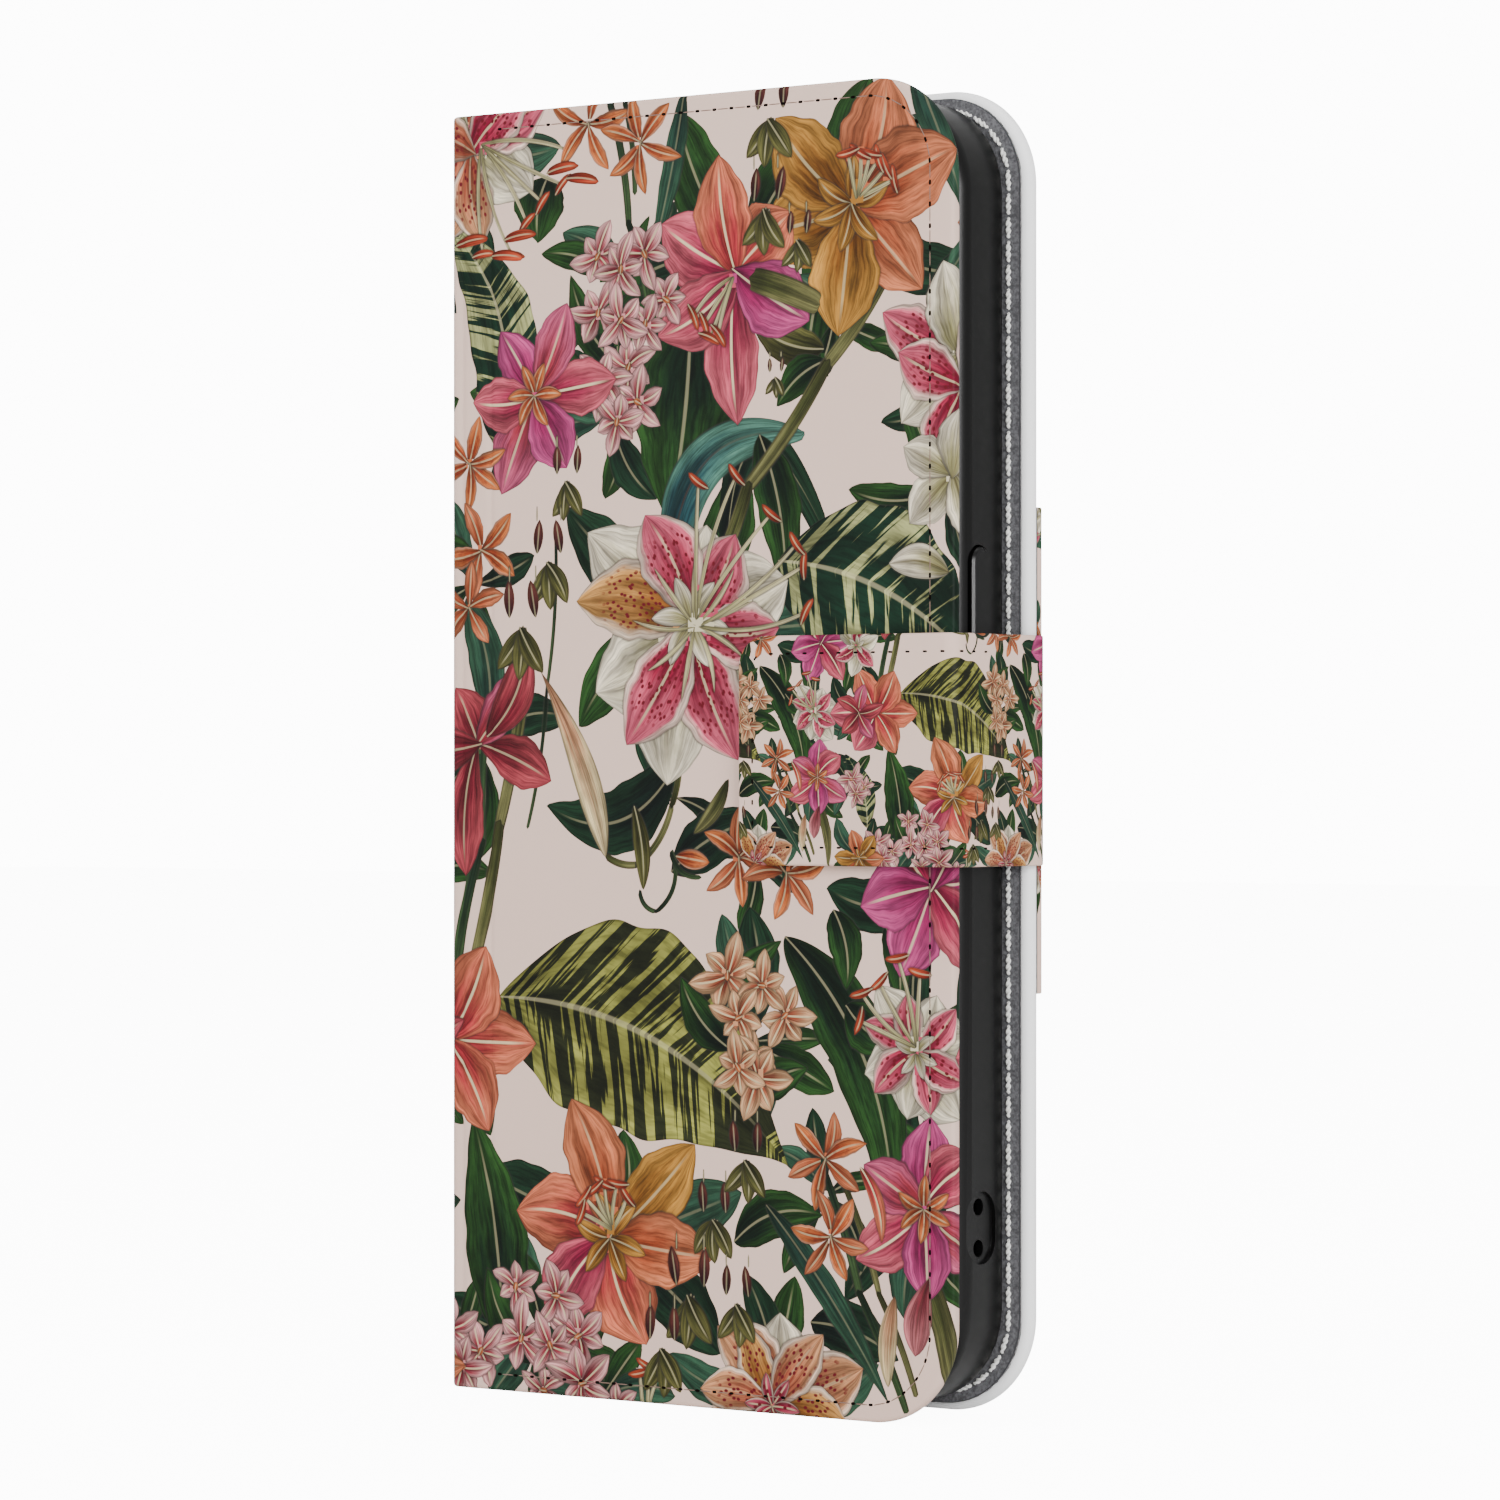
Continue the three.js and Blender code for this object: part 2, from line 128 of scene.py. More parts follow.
class Graph:
    """Short-hand for building one node tree."""

    def __init__(self, tree: bpy.types.NodeTree) -> None:
        """Starts on a tree that may hold default nodes.

        Args:
            tree: the node tree to build in.
        """
        self.tree = tree
        self.tree.nodes.clear()

    def add(self, kind: str, **settings: object) -> bpy.types.Node:
        """Adds a node.

        Args:
            kind: the node's type name.
            **settings: attributes set on the node.

        Returns:
            The new node.
        """
        node = self.tree.nodes.new(kind)
        for name, value in settings.items():
            setattr(node, name, value)
        return node

    def put(self, socket: bpy.types.NodeSocket, value: object) -> None:
        """Links a socket to another one, or sets its constant.

        Args:
            socket: the input.
            value: an output socket, a number, a colour or None to leave it.
        """
        if value is None:
            return
        if isinstance(value, bpy.types.NodeSocket):
            self.tree.links.new(value, socket)
            return
        if socket.type == "RGBA" and len(value) == 3:
            value = (*value, 1.0)
        socket.default_value = value

    def math(self, operation: str, a: object, b: object = None, c: object = None,
             clamp: bool = False) -> bpy.types.NodeSocket:
        """Adds a maths node.

        Args:
            operation: the node's operation.
            a, b, c: operands, sockets or numbers.
            clamp: keep the result in 0..1.

        Returns:
            The result socket.
        """
        node = self.add("ShaderNodeMath", operation=operation, use_clamp=clamp)
        for socket, value in zip(node.inputs, (a, b, c)):
            self.put(socket, value)
        return node.outputs[0]

    def ramp(self, value: object, low: float, high: float, bottom: float = 0.0,
             top: float = 1.0) -> bpy.types.NodeSocket:
        """Smooth step from bottom to top while value goes from low to high.

        Args:
            value: the input socket.
            low, high: where the step starts and ends.
            bottom, top: the output's limits.

        Returns:
            The result socket.
        """
        node = self.add("ShaderNodeMapRange", interpolation_type="SMOOTHSTEP")
        for name, number in (("Value", value), ("From Min", low), ("From Max", high), ("To Min", bottom),
                             ("To Max", top)):
            self.put(node.inputs[name], number)
        return node.outputs["Result"]

    def mix(self, factor: object, a: object, b: object, blend: str = "MIX") -> bpy.types.NodeSocket:
        """Mixes two colours.

        Args:
            factor: share of b.
            a, b: colours or sockets.
            blend: blend mode.

        Returns:
            The colour socket.
        """
        node = self.add("ShaderNodeMix", data_type="RGBA", blend_type=blend)
        self.put(node.inputs[0], factor)
        self.put(node.inputs[6], a)
        self.put(node.inputs[7], b)
        return node.outputs[2]

    def noise(self, vector: object, scale: float, detail: float = 2.0,
              roughness: float = 0.5) -> bpy.types.NodeSocket:
        """Adds fractal noise.

        Args:
            vector: where it is read.
            scale: frequency.
            detail: number of octaves.
            roughness: weight of the finer octaves.

        Returns:
            The value socket.
        """
        node = self.add("ShaderNodeTexNoise")
        self.put(node.inputs["Vector"], vector)
        self.put(node.inputs["Scale"], scale)
        self.put(node.inputs["Detail"], detail)
        self.put(node.inputs["Roughness"], roughness)
        return node.outputs[0]

    def vector(self, x: object, y: object, z: object = 0.0) -> bpy.types.NodeSocket:
        """Joins three values into a vector.

        Args:
            x, y, z: sockets or numbers.

        Returns:
            The vector socket.
        """
        node = self.add("ShaderNodeCombineXYZ")
        for socket, value in zip(node.inputs, (x, y, z)):
            self.put(socket, value)
        return node.outputs[0]

    def parts(self, vector: object) -> list[bpy.types.NodeSocket]:
        """Splits a vector into its three values.

        Args:
            vector: the vector socket.

        Returns:
            The x, y and z sockets.
        """
        node = self.add("ShaderNodeSeparateXYZ")
        self.put(node.inputs[0], vector)
        return list(node.outputs)

    def attribute(self, name: str) -> bpy.types.Node:
        """Reads a mesh attribute.

        Args:
            name: the attribute's name.

        Returns:
            The attribute node.
        """
        return self.add("ShaderNodeAttribute", attribute_type="GEOMETRY", attribute_name=name)

    def bump(self, height: object, strength: float, distance: float) -> bpy.types.NodeSocket:
        """Turns a height into a normal.

        Args:
            height: the height socket, 0..1.
            strength: share of the effect.
            distance: how high 1 is, in metres.

        Returns:
            The normal socket.
        """
        node = self.add("ShaderNodeBump")
        self.put(node.inputs["Height"], height)
        node.inputs["Strength"].default_value = strength
        node.inputs["Distance"].default_value = distance
        return node.outputs[0]


@dataclass(frozen=True)
class Finish:
    """A finish that becomes one material."""

    name: str
    colour: Colour
    roughness: float
    specular: float = 0.5
    sheen: float = 0.0

    def surface(self, graph: Graph) -> tuple[object, object, object]:
        """Colour, roughness and normal of the finish; a plain finish has constants.

        Args:
            graph: the material's node tree.

        Returns:
            Base colour, roughness and normal, each a socket or a constant.
        """
        return self.colour, self.roughness, None

    def material(self) -> bpy.types.Material:
        """Builds the material once and returns it afterwards.

        Returns:
            The material.
        """
        found = bpy.data.materials.get(self.name)
        if found:
            return found
        made = bpy.data.materials.new(self.name)
        made.use_nodes = True
        graph = Graph(made.node_tree)
        out = graph.add("ShaderNodeOutputMaterial")
        shader = graph.add("ShaderNodeBsdfPrincipled")
        colour, roughness, normal = self.surface(graph)
        graph.put(shader.inputs["Base Color"], colour)
        graph.put(shader.inputs["Roughness"], roughness)
        graph.put(shader.inputs["Normal"], normal)
        shader.inputs["Specular IOR Level"].default_value = self.specular
        shader.inputs["Sheen Weight"].default_value = self.sheen
        made.node_tree.links.new(shader.outputs[0], out.inputs[0])
        return made


def object_point(graph: Graph) -> bpy.types.NodeSocket:
    """Object coordinates, in metres.

    Args:
        graph: the tree to add to.

    Returns:
        The vector socket.
    """
    return graph.add("ShaderNodeTexCoord").outputs["Object"]


@dataclass(frozen=True)
class Suede(Finish):
    """Short-napped microfibre: cloudy tone, a fine nap and painted shade on its rounded edge for the dark gap
    line at its border.
    """

    cloud: float = 0.4
    broad_share: float = 0.18
    # Painted shade: the dark line where the lining's edge meets the leather.
    edge_shade: Colour = tint(52, 52, 54)

    def surface(self, graph: Graph) -> tuple[object, object, object]:
        """Colour varies with two noises, the finer of which also lifts the nap.

        Args:
            graph: the material's node tree.

        Returns:
            Base colour, roughness and normal.
        """
        fine = graph.noise(object_point(graph), 2600.0, 3.0, 0.65)
        broad = graph.noise(object_point(graph), 260.0, 3.0, 0.6)
        both = graph.math("ADD", graph.math("MULTIPLY", fine, 1 - self.broad_share),
                          graph.math("MULTIPLY", broad, self.broad_share))
        dark = tuple(c * (1 - self.cloud) for c in self.colour)
        light = tuple(min(1.0, c * (1 + self.cloud)) for c in self.colour)
        colour = graph.mix(graph.ramp(both, 0.36, 0.64), dark, light)
        # Painted shade on the rounded edge rings, where the bare attribute is 1.
        colour = graph.mix(graph.attribute("bare").outputs["Fac"], colour, self.edge_shade)
        return colour, self.roughness, graph.bump(fine, 0.5, 0.00012)


@dataclass(frozen=True)
class SoftPlastic(Finish):
    """Moulded soft plastic with a very fine spark texture."""

    def surface(self, graph: Graph) -> tuple[object, object, object]:
        """Roughness and normal vary with a fine noise.

        Args:
            graph: the material's node tree.

        Returns:
            Base colour, roughness and normal.
        """
        grain = graph.noise(object_point(graph), 5200.0, 2.0)
        return self.colour, self.roughness, graph.bump(grain, 0.18, 0.00004)


# ---------------------------------------------------------------------------------------------------
# The print: painted strokes
# ---------------------------------------------------------------------------------------------------

LAYERS = 4
SOFT_EDGE = 0.05
SHADE_REACH = 0.3
UNUSED_WIDTH = -9.0
CREASE_DEPTH = 0.16
CREASE_WIDTH = 0.45
Fold = tuple[tuple[float, float], tuple[float, float]]


@dataclass(frozen=True)
class Look:
    """How a stroke is painted: two colours and the strength of each kind of drawing on it."""

    inner: Colour
    outer: Colour
    veins: float = 0.5
    rib: float = 0.0
    spots: float = 0.0
    stripes: float = 0.0


@dataclass(frozen=True)
class Stroke:
    """A painted shape round a bent midline, widest somewhere along it and narrowing to both ends."""

    start: tuple[float, float]
    end: tuple[float, float]
    half_width: float
    look: Look
    bend: float = 0.0
    widest: float = 0.5
    point: float = 0.7
    ruffle: float = 0.0
    seed: float = 0.0

    @property
    def length(self) -> float:
        """Distance between the two ends."""
        return math.hypot(self.end[0] - self.start[0], self.end[1] - self.start[1])

    def reach(self) -> tuple[float, float, float, float]:
        """Lowest and highest x and y that the shape can touch.

        Returns:
            x low, x high, y low, y high.
        """
        steep = math.sqrt(1 + 16 * self.bend**2)
        room = self.half_width * 1.3 * steep + abs(self.bend) * self.length + SHADE_REACH
        xs, ys = (self.start[0], self.end[0]), (self.start[1], self.end[1])
        return min(xs) - room, max(xs) + room, min(ys) - room, max(ys) + room

    def local(self, x: Array, y: Array) -> tuple[Array, Array, Array]:
        """Place of points in the stroke's own measure.

        With s the share of the length along the chord, the midline is 4 b L s (1 - s) off the chord and
        the half width is W sin(pi s^p)^q (1 + r sin(...)), where s^p = 1/2 at the widest point, divided
        by the cosine of the midline's slope.

        Args:
            x, y: the points.

        Returns:
            Distance along, signed distance from the midline, and half width there, below 0 past the ends.
        """
        length = self.length
        ex, ey = (self.end[0] - self.start[0]) / length, (self.end[1] - self.start[1]) / length
        dx, dy = x - self.start[0], y - self.start[1]
        share = (dx * ex + dy * ey) / length
        inside = np.clip(share, 0.0, 1.0)
        across = dy * ex - dx * ey - 4 * self.bend * length * inside * (1 - inside)
        power = math.log(0.5) / math.log(self.widest)
        profile = np.sin(np.pi * inside**power).clip(0.0) ** self.point
        wave = np.sin(share * 23.0 + self.seed * 40 + np.sign(across))
        wave = wave + 0.6 * np.sin(share * 41.0 + self.seed * 90)
        slope = 4 * self.bend * (1 - 2 * inside)
        width = self.half_width * profile * (1 + self.ruffle * wave) * np.sqrt(1 + slope**2)
        outside = np.maximum(-share, share - 1.0).clip(0.0) * length
        return share * length, across, np.where(outside > 0, -outside, width)


@dataclass(frozen=True)
class Palette:
    """The print's looks."""

    pink: Look = Look(tint(138, 24, 60), tint(190, 86, 100), 0.9, 0.7)
    peach: Look = Look(tint(156, 42, 50), tint(196, 106, 76), 0.9, 0.6)
    ochre: Look = Look(tint(96, 54, 14), tint(170, 120, 50), 0.9, 0.3)
    amber: Look = Look(tint(132, 54, 28), tint(188, 108, 72), 0.9, 0.3)
    rose: Look = Look(tint(138, 38, 50), tint(176, 78, 108), 0.9, 0.4)
    magenta: Look = Look(tint(132, 22, 74), tint(176, 68, 118), 0.9, 0.5)
    spotted: Look = Look(tint(128, 8, 44), tint(190, 84, 104), 0.8, 0.4, 1.0)
    spotted_ochre: Look = Look(tint(126, 74, 26), tint(190, 138, 76), 0.8, -0.3, 1.0)
    spotted_peach: Look = Look(tint(150, 70, 50), tint(200, 142, 100), 0.8, 0.2, 1.0)
    cream: Look = Look(tint(142, 136, 92), tint(216, 204, 180), 0.8, -0.2)
    blossom: Look = Look(tint(122, 22, 42), tint(216, 158, 156), 0.9, 0.5)
    blossom_peach: Look = Look(tint(136, 60, 40), tint(206, 160, 118), 0.9, 0.5)
    orange: Look = Look(tint(128, 48, 24), tint(196, 108, 58), 0.8, 0.3, 0.3)
    crimson: Look = Look(tint(98, 20, 34), tint(158, 62, 70), 0.9, 0.3)
    leaf: Look = Look(tint(8, 26, 14), tint(34, 66, 26), 0.95, 0.2)
    deep_leaf: Look = Look(tint(7, 20, 15), tint(20, 46, 28), 0.95, 0.16)
    gold_leaf: Look = Look(tint(32, 36, 18), tint(138, 138, 66), 0.7, 0.2, 0.0, 1.0)
    cream_leaf: Look = Look(tint(14, 40, 26), tint(160, 162, 108), 0.7, 0.25, 0.0, 1.0)
    blade: Look = Look(tint(26, 52, 42), tint(44, 76, 56), 0.8, 0.1)
    sea_blade: Look = Look(tint(26, 58, 64), tint(74, 116, 100), 0.9, -0.3)
    stem: Look = Look(tint(58, 62, 30), tint(104, 102, 62), 0.7)
    dark_stem: Look = Look(tint(24, 42, 26), tint(56, 78, 44), 0.7)
    filament: Look = Look(tint(180, 172, 120), tint(206, 194, 150), 0.2, 0.0)
    anther: Look = Look(tint(120, 30, 20), tint(176, 68, 40), 0.6, 0.3)
    bud: Look = Look(tint(176, 124, 90), tint(200, 180, 134), 0.8, -0.4)
    pink_bud: Look = Look(tint(112, 40, 50), tint(176, 102, 106), 0.9, -0.2)
    dark_bud: Look = Look(tint(44, 14, 20), tint(88, 42, 36), 0.6, 0.2)
    olive_bud: Look = Look(tint(42, 44, 20), tint(90, 88, 46), 0.8, 0.25)


GROUND: Colour = tint(208, 180, 166)


class Garden:
    """Collects strokes in the order in which they are painted, the lowest first."""

    def __init__(self, seed: int) -> None:
        """Starts empty.

        Args:
            seed: fixes every variation.
        """
        self.random = np.random.default_rng(seed)
        self.undergrowth: list[Stroke] = []
        self.strokes: list[Stroke] = []
        self.looks = Palette()

    def vary(self, spread: float) -> float:
        """A number from -spread to spread.

        Args:
            spread: the limit.

        Returns:
            The number.
        """
        return float(self.random.uniform(-spread, spread))

    def stroke(self, start: tuple[float, float], end: tuple[float, float], half_width: float, look: Look,
               **shape: float) -> None:
        """Paints one shape.

        Args:
            start, end: ends of its midline.
            half_width: its half width where it is widest.
            look: how it is painted.
            **shape: bend, widest, point and ruffle.
        """
        seed = float(self.random.random())
        self.strokes.append(Stroke(start, end, half_width, look, seed=seed, **shape))

    def ray(self, x: float, y: float, angle: float, near: float, far: float, half_width: float, look: Look,
            **shape: float) -> None:
        """Paints a shape that points away from a centre.

        Args:
            x, y: the centre.
            angle: direction in degrees.
            near, far: distances of its ends from the centre.
            half_width: its half width.
            look: how it is painted.
            **shape: bend, widest, point and ruffle.
        """
        c, s = math.cos(math.radians(angle)), math.sin(math.radians(angle))
        self.stroke((x + c * near, y + s * near), (x + c * far, y + s * far), half_width, look, **shape)

    def leaf(self, x0: float, y0: float, x1: float, y1: float, half_width: float, look: Look,
             bend: float = 0.08) -> None:
        """Paints a leaf.

        Args:
            x0, y0: its stalk's end.
            x1, y1: its tip.
            half_width: its half width.
            look: how it is painted.
            bend: how far its midline bows.
        """
        self.stroke((x0, y0), (x1, y1), half_width, look, bend=bend, widest=0.42, point=0.86, ruffle=0.03)

    def stem(self, points: Sequence[tuple[float, float]], half_width: float, look: Look,
             bend: float = 0.04) -> None:
        """Paints a stem through points.

        Args:
            points: the points in order.
            half_width: half its width.
            look: how it is painted.
            bend: bow of each part.
        """
        for (x0, y0), (x1, y1) in zip(points, points[1:]):
            over = half_width * 0.8 / math.hypot(x1 - x0, y1 - y0)
            dx, dy = (x1 - x0) * over, (y1 - y0) * over
            self.stroke((x0 - dx, y0 - dy), (x1 + dx, y1 + dy), half_width, look, bend=bend, point=0.08)

    def flower(self, x: float, y: float, radius: float, turn: float, looks: Sequence[Look],
               width: float = 0.27, petals: int = 6, heart: Look | None = None,
               squash: Sequence[float] = (1.0,)) -> None:
        """Paints an open flower of long petals, the odd ones behind the even ones.

        Args:
            x, y: its centre.
            radius: reach of its petals.
            turn: direction of the first petal, in degrees.
            looks: looks of its petals, used in turn.
            width: half width of a petal as a share of the radius.
            petals: number of petals.
            heart: look of the small inner star, if it has one.
            squash: lengths of the petals as shares of the radius, used in turn.
        """
        order = [*range(1, petals, 2), *range(0, petals, 2)]
        for i in order:
            angle = turn + i * 360 / petals + self.vary(7)
            far = radius * squash[i % len(squash)] * (1 + self.vary(0.06))
            self.ray(x, y, angle, -radius * 0.05, far, radius * width * (1 + self.vary(0.12)),
                     looks[i % len(looks)], bend=self.vary(0.1), widest=0.56 + self.vary(0.05), point=0.85,
                     ruffle=0.035)
        if heart:
            for i in range(petals):
                angle = turn + i * 360 / petals + self.vary(10)
                self.ray(x, y, angle, 0, radius * 0.36, radius * 0.07, heart, bend=self.vary(0.1))

    def stamens(self, x: float, y: float, reach: float, turn: float, spread: float = 50,
                count: int = 5) -> None:
        """Paints filaments that fan out of a flower, each with an anther across its end.

        Args:
            x, y: the flower's centre.
            reach: length of the filaments.
            turn: middle direction in degrees.
            spread: angle between the outer two.
            count: how many.
        """
        for i in range(count):
            angle = turn + spread * (i / max(1, count - 1) - 0.5) + self.vary(4)
            far = reach * (1 + self.vary(0.12))
            self.ray(x, y, angle, 0, far, 0.28, self.looks.filament, bend=self.vary(0.08), point=0.2)
            c, s = math.cos(math.radians(angle)), math.sin(math.radians(angle))
            self.ray(x + c * far, y + s * far, angle + 75 + self.vary(25), -1.9, 1.9, 0.55,
                     self.looks.anther, bend=0.06, point=0.45)

    def cluster(self, x: float, y: float, spread: float, count: int, look: Look, radius: float = 4.6) -> None:
        """Paints a head of small pointed blossoms.

        Args:
            x, y: its centre.
            spread: how far the blossoms lie from the centre.
            count: how many.
            look: look of the petals.
            radius: reach of a blossom.
        """
        for i in range(count):
            angle = i * 137.5
            far = spread * math.sqrt((count - i - 0.5) / count)
            cx = x + far * math.cos(math.radians(angle)) * 0.8
            cy = y + far * math.sin(math.radians(angle)) * 1.2
            self.flower(cx, cy, radius * (1 + self.vary(0.2)), self.vary(60), (look,), 0.24, 6,
                        squash=(1.0, 0.8, 1.05, 0.7))
            self.ray(cx, cy, self.vary(180), -0.7, 0.7, 0.5, self.looks.orange, point=0.5)

    def rosette(self, x: float, y: float, radius: float, turn: float, count: int,
                width: float = 0.17) -> None:
        """Paints leaves that fan out from under a flower, below everything else.

        Args:
            x, y: the flower's centre.
            radius: reach of the leaves.
            turn: direction of the first leaf, in degrees.
            count: how many.
            width: half width of a leaf as a share of the radius.
        """
        looks = (self.looks.leaf, self.looks.deep_leaf, self.looks.blade)
        for i in range(count):
            angle = math.radians(turn + i * 360 / count + self.vary(22))
            far = radius * (1 + self.vary(0.22))
            tip = (x + far * math.cos(angle), y + far * math.sin(angle))
            self.undergrowth.append(Stroke((x, y), tip, far * width * (1 + self.vary(0.2)), looks[i % 3],
                                           bend=self.vary(0.16), widest=0.6, point=0.75, ruffle=0.03,
                                           seed=float(self.random.random())))

    def buds(self, x: float, y: float, size: float) -> None:
        """Paints a small hanging sprig: three olive leaves and two dark buds over them.

        Args:
            x, y: its middle.
            size: its height.
        """
        for angle in (-128, -92, -55):
            self.ray(x, y, angle + self.vary(8), -0.1 * size, 0.62 * size, 0.15 * size, self.looks.olive_bud,
                     bend=self.vary(0.08))
        for side in (-1, 1):
            bx, by = x + side * 0.22 * size, y + 0.2 * size
            self.ray(bx, by, 90 + self.vary(12), 0, 0.5 * size, 0.09 * size, self.looks.dark_bud)
            self.ray(bx, by, 90, 0.45 * size, 0.7 * size, 0.12, self.looks.olive_bud, point=0.3)


# Leaf fans below the rest: x, y, radius, direction of the first leaf and number of leaves.
UNDERGROWTH = ((2, 164, 19, 200, 5), (29, 143, 15, 20, 7), (27, 128, 13, 70, 6), (48, 146, 19, 120, 4),
               (66, 151, 21, 250, 5), (14, 130, 14, 160, 4), (40, 100, 24, 200, 5), (62, 138, 10, 330, 4),
               (80, 130, 15, 150, 5), (80, 117, 13, 190, 4), (4, 106, 11, 300, 4), (5, 84, 17, 270, 4),
               (37, 78, 12, 200, 3), (50, 70, 10, 250, 4), (49, 47, 14, 20, 7), (78, 67, 16, 120, 5),
               (75, 46, 14, 200, 6), (76, 26, 15, 140, 6), (61, 28, 10, 20, 5), (26, 20, 19, 240, 5),
               (15, 8, 15, 0, 8), (25, 0, 12, 50, 6), (1, 5, 12, 90, 5), (53, 3, 18, 60, 6),
               (0, 46, 17, 300, 4), (90, 112, 12, 0, 5), (88, 148, 11, 60, 5), (90, 66, 13, 20, 5),
               (90, 25, 12, 70, 5),
               (91, 130, 10, 0, 5), (88, 92, 10, 90, 4), (91, 46, 12, 30, 4), (91, 4, 13, 0, 5))


def floral_tile() -> list[Stroke]:
    """The repeat of the print: lilies, blossom heads, striped leaves and stems on a pale ground.

    Returns:
        Its strokes, the lowest first. x runs over 98 mm from the spine's fold and y over 168 mm.
    """
    g = Garden(SEED)
    k = g.looks
    # Foliage at the back.
    g.leaf(39.5, 139, 36, 113.5, 8.2, k.leaf, 0.03)
    g.leaf(8, 124, -1, 154, 5.6, k.cream_leaf, -0.16)
    g.stroke((45, 104), (62.5, 108), 2.3, k.deep_leaf, bend=0.95, point=0.3)
    g.stroke((36.5, 106), (57.5, 124), 3.4, k.sea_blade, bend=0.28, point=0.5, widest=0.4)
    g.leaf(50.5, 124, 54.5, 104, 3.4, k.leaf, 0.06)
    g.leaf(53.5, 108.0, 84.5, 93, 10.4, k.cream_leaf, 0.1)
    g.stroke((8, 51.8), (55, 31.5), 13.6, k.gold_leaf, bend=0.11, widest=0.4, point=1.1, ruffle=0.03)
    g.leaf(54.5, 60.5, 71, 25, 5.0, k.leaf, 0.12)
    g.leaf(8.6, 7, 3.6, 36, 5.2, k.leaf, -0.04)
    g.leaf(38.6, 169, 33.2, 147, 1.6, k.blade, 0.02)
    g.leaf(73.5, 170, 82, 150.5, 2.3, k.blade, 0.02)
    g.leaf(16.2, 159, 14.6, 150.5, 4.2, k.leaf, -0.1)
    g.leaf(37, 82, 16, 77, 4.4, k.deep_leaf, 0.22)
    g.leaf(36.5, 68.5, 52, 75.5, 3.6, k.deep_leaf, 0.08)
    g.leaf(60.5, 134.5, 49, 139, 2.6, k.olive_bud, 0.1)
    g.leaf(60.8, 133, 53.2, 127.5, 2.4, k.leaf, -0.1)
    g.leaf(46.5, 21.5, 60.4, 25.5, 3.2, k.leaf, 0.14)
    g.leaf(58.5, 12, 72, 8, 3.6, k.deep_leaf, 0.08)
    g.leaf(62, 64, 64, 54, 2.6, k.leaf, 0.1)
    g.leaf(70, 62, 72, 52, 2.0, k.leaf, 0.1)
    g.leaf(64, 52, 72, 47, 3.0, k.leaf, -0.1)
    for x0, y0, x1, y1 in ((29, 133, 20, 146), (28, 133, 33, 153), (27, 138, 38, 143), (26, 128, 19, 137),
                           (44, 48, 54, 60), (46, 46, 38, 55), (50, 40, 58, 44), (14, 4, 6, 16),
                           (16, 2, 26, 12)):
        g.leaf(x0, y0, x1, y1, 2.6, k.leaf, 0.1)
    # Stems.
    g.stem([(70, 143.5), (60.8, 132.4), (48.5, 117.5), (42, 104)], 1.0, k.stem, 0.03)
    g.stem([(26, 169), (29.5, 152), (33, 140)], 0.6, k.dark_stem)
    g.stem([(28.5, 169), (30.5, 156)], 0.45, k.dark_stem)
    g.stem([(12.5, 95), (8, 74), (2.5, 52)], 1.0, k.stem, 0.02)
    g.stem([(6, 90), (5, 72), (0, 50)], 0.9, k.dark_stem, -0.03)
    g.stem([(26, 70.5), (31, 69.5), (36.4, 77), (37, 86)], 0.5, k.stem, -0.1)
    g.stem([(31.5, 66), (34, 63.5), (36.5, 71), (41, 68)], 0.35, k.dark_stem, -0.2)
    g.stem([(60.6, 31), (66, 16), (73, 2)], 0.6, k.dark_stem, 0.02)
    g.stem([(63.4, 30), (69, 16), (74.5, 4)], 0.5, k.stem, 0.03)
    g.leaf(51.5, 26.5, 70.5, 2.5, 1.9, k.blade, 0.03)
    g.leaf(74, 22, 79.5, -1, 1.7, k.stem, 0.1)
    g.stem([(17.5, 112), (16, 92), (12.8, 74)], 0.3, k.dark_stem, 0.03)
    # Top left: spotted lily at the corner.
    g.flower(2.5, 166, 15, 20, (k.spotted, k.spotted_peach, k.cream), 0.3, 6)
    g.flower(3.5, 163, 12.5, -75, (k.spotted_peach, k.spotted), 0.3, 3)
    g.stamens(5, 164, 14.5, -48, 74, 6)
    g.flower(23, 165.5, 7.2, 12, (k.orange,), 0.17, 5)
    g.flower(31.5, 162.4, 6.8, 40, (k.orange,), 0.16, 6)
    for x, y, angle in ((18.6, 159.8, 8), (22, 158.2, -8), (11.5, 151.4, 6), (9.4, 148.9, -6),
                        (3.4, 151.2, 8)):
        g.ray(x, y, angle, -2.7, 2.7, 0.75, k.anther, bend=0.05, point=0.4)
    # Ochre lily and pink lily, upper right.
    g.flower(64.8, 152.5, 17.2, 18, (k.amber, k.amber, k.ochre, k.ochre, k.ochre, k.amber), 0.33, 6, k.ochre,
             (0.95, 1.02, 1.0, 0.8, 1.02, 0.88))
    g.stamens(65.5, 153, 6.5, 60, 80, 6)
    g.flower(46.8, 145, 16, 95, (k.peach, k.pink, k.pink, k.pink, k.magenta, k.peach), 0.3, 6, None,
             (0.98, 0.86, 0.9, 1.25, 0.86, 0.66))
    g.stamens(46.5, 144.4, 8, 235, 40, 4)
    g.stem([(50.5, 143.5), (58.5, 140.6)], 1.7, k.stem, 0.02)
    # Blossom heads.
    g.cluster(29, 142, 8.5, 8, k.blossom, 4.8)
    g.cluster(27.5, 129, 4.8, 3, k.blossom, 5.4)
    g.flower(14, 130.5, 12.5, 62, (k.rose, k.magenta, k.pink), 0.29, 6, k.orange,
             (1, 0.85, 0.8, 1.1, 0.9, 1.15))
    g.flower(3, 122, 6.6, 20, (k.orange,), 0.17, 6)
    g.flower(5, 110.5, 6.8, 40, (k.orange, k.amber), 0.2, 5)
    g.flower(3, 103, 6.0, 10, (k.amber,), 0.2, 5)
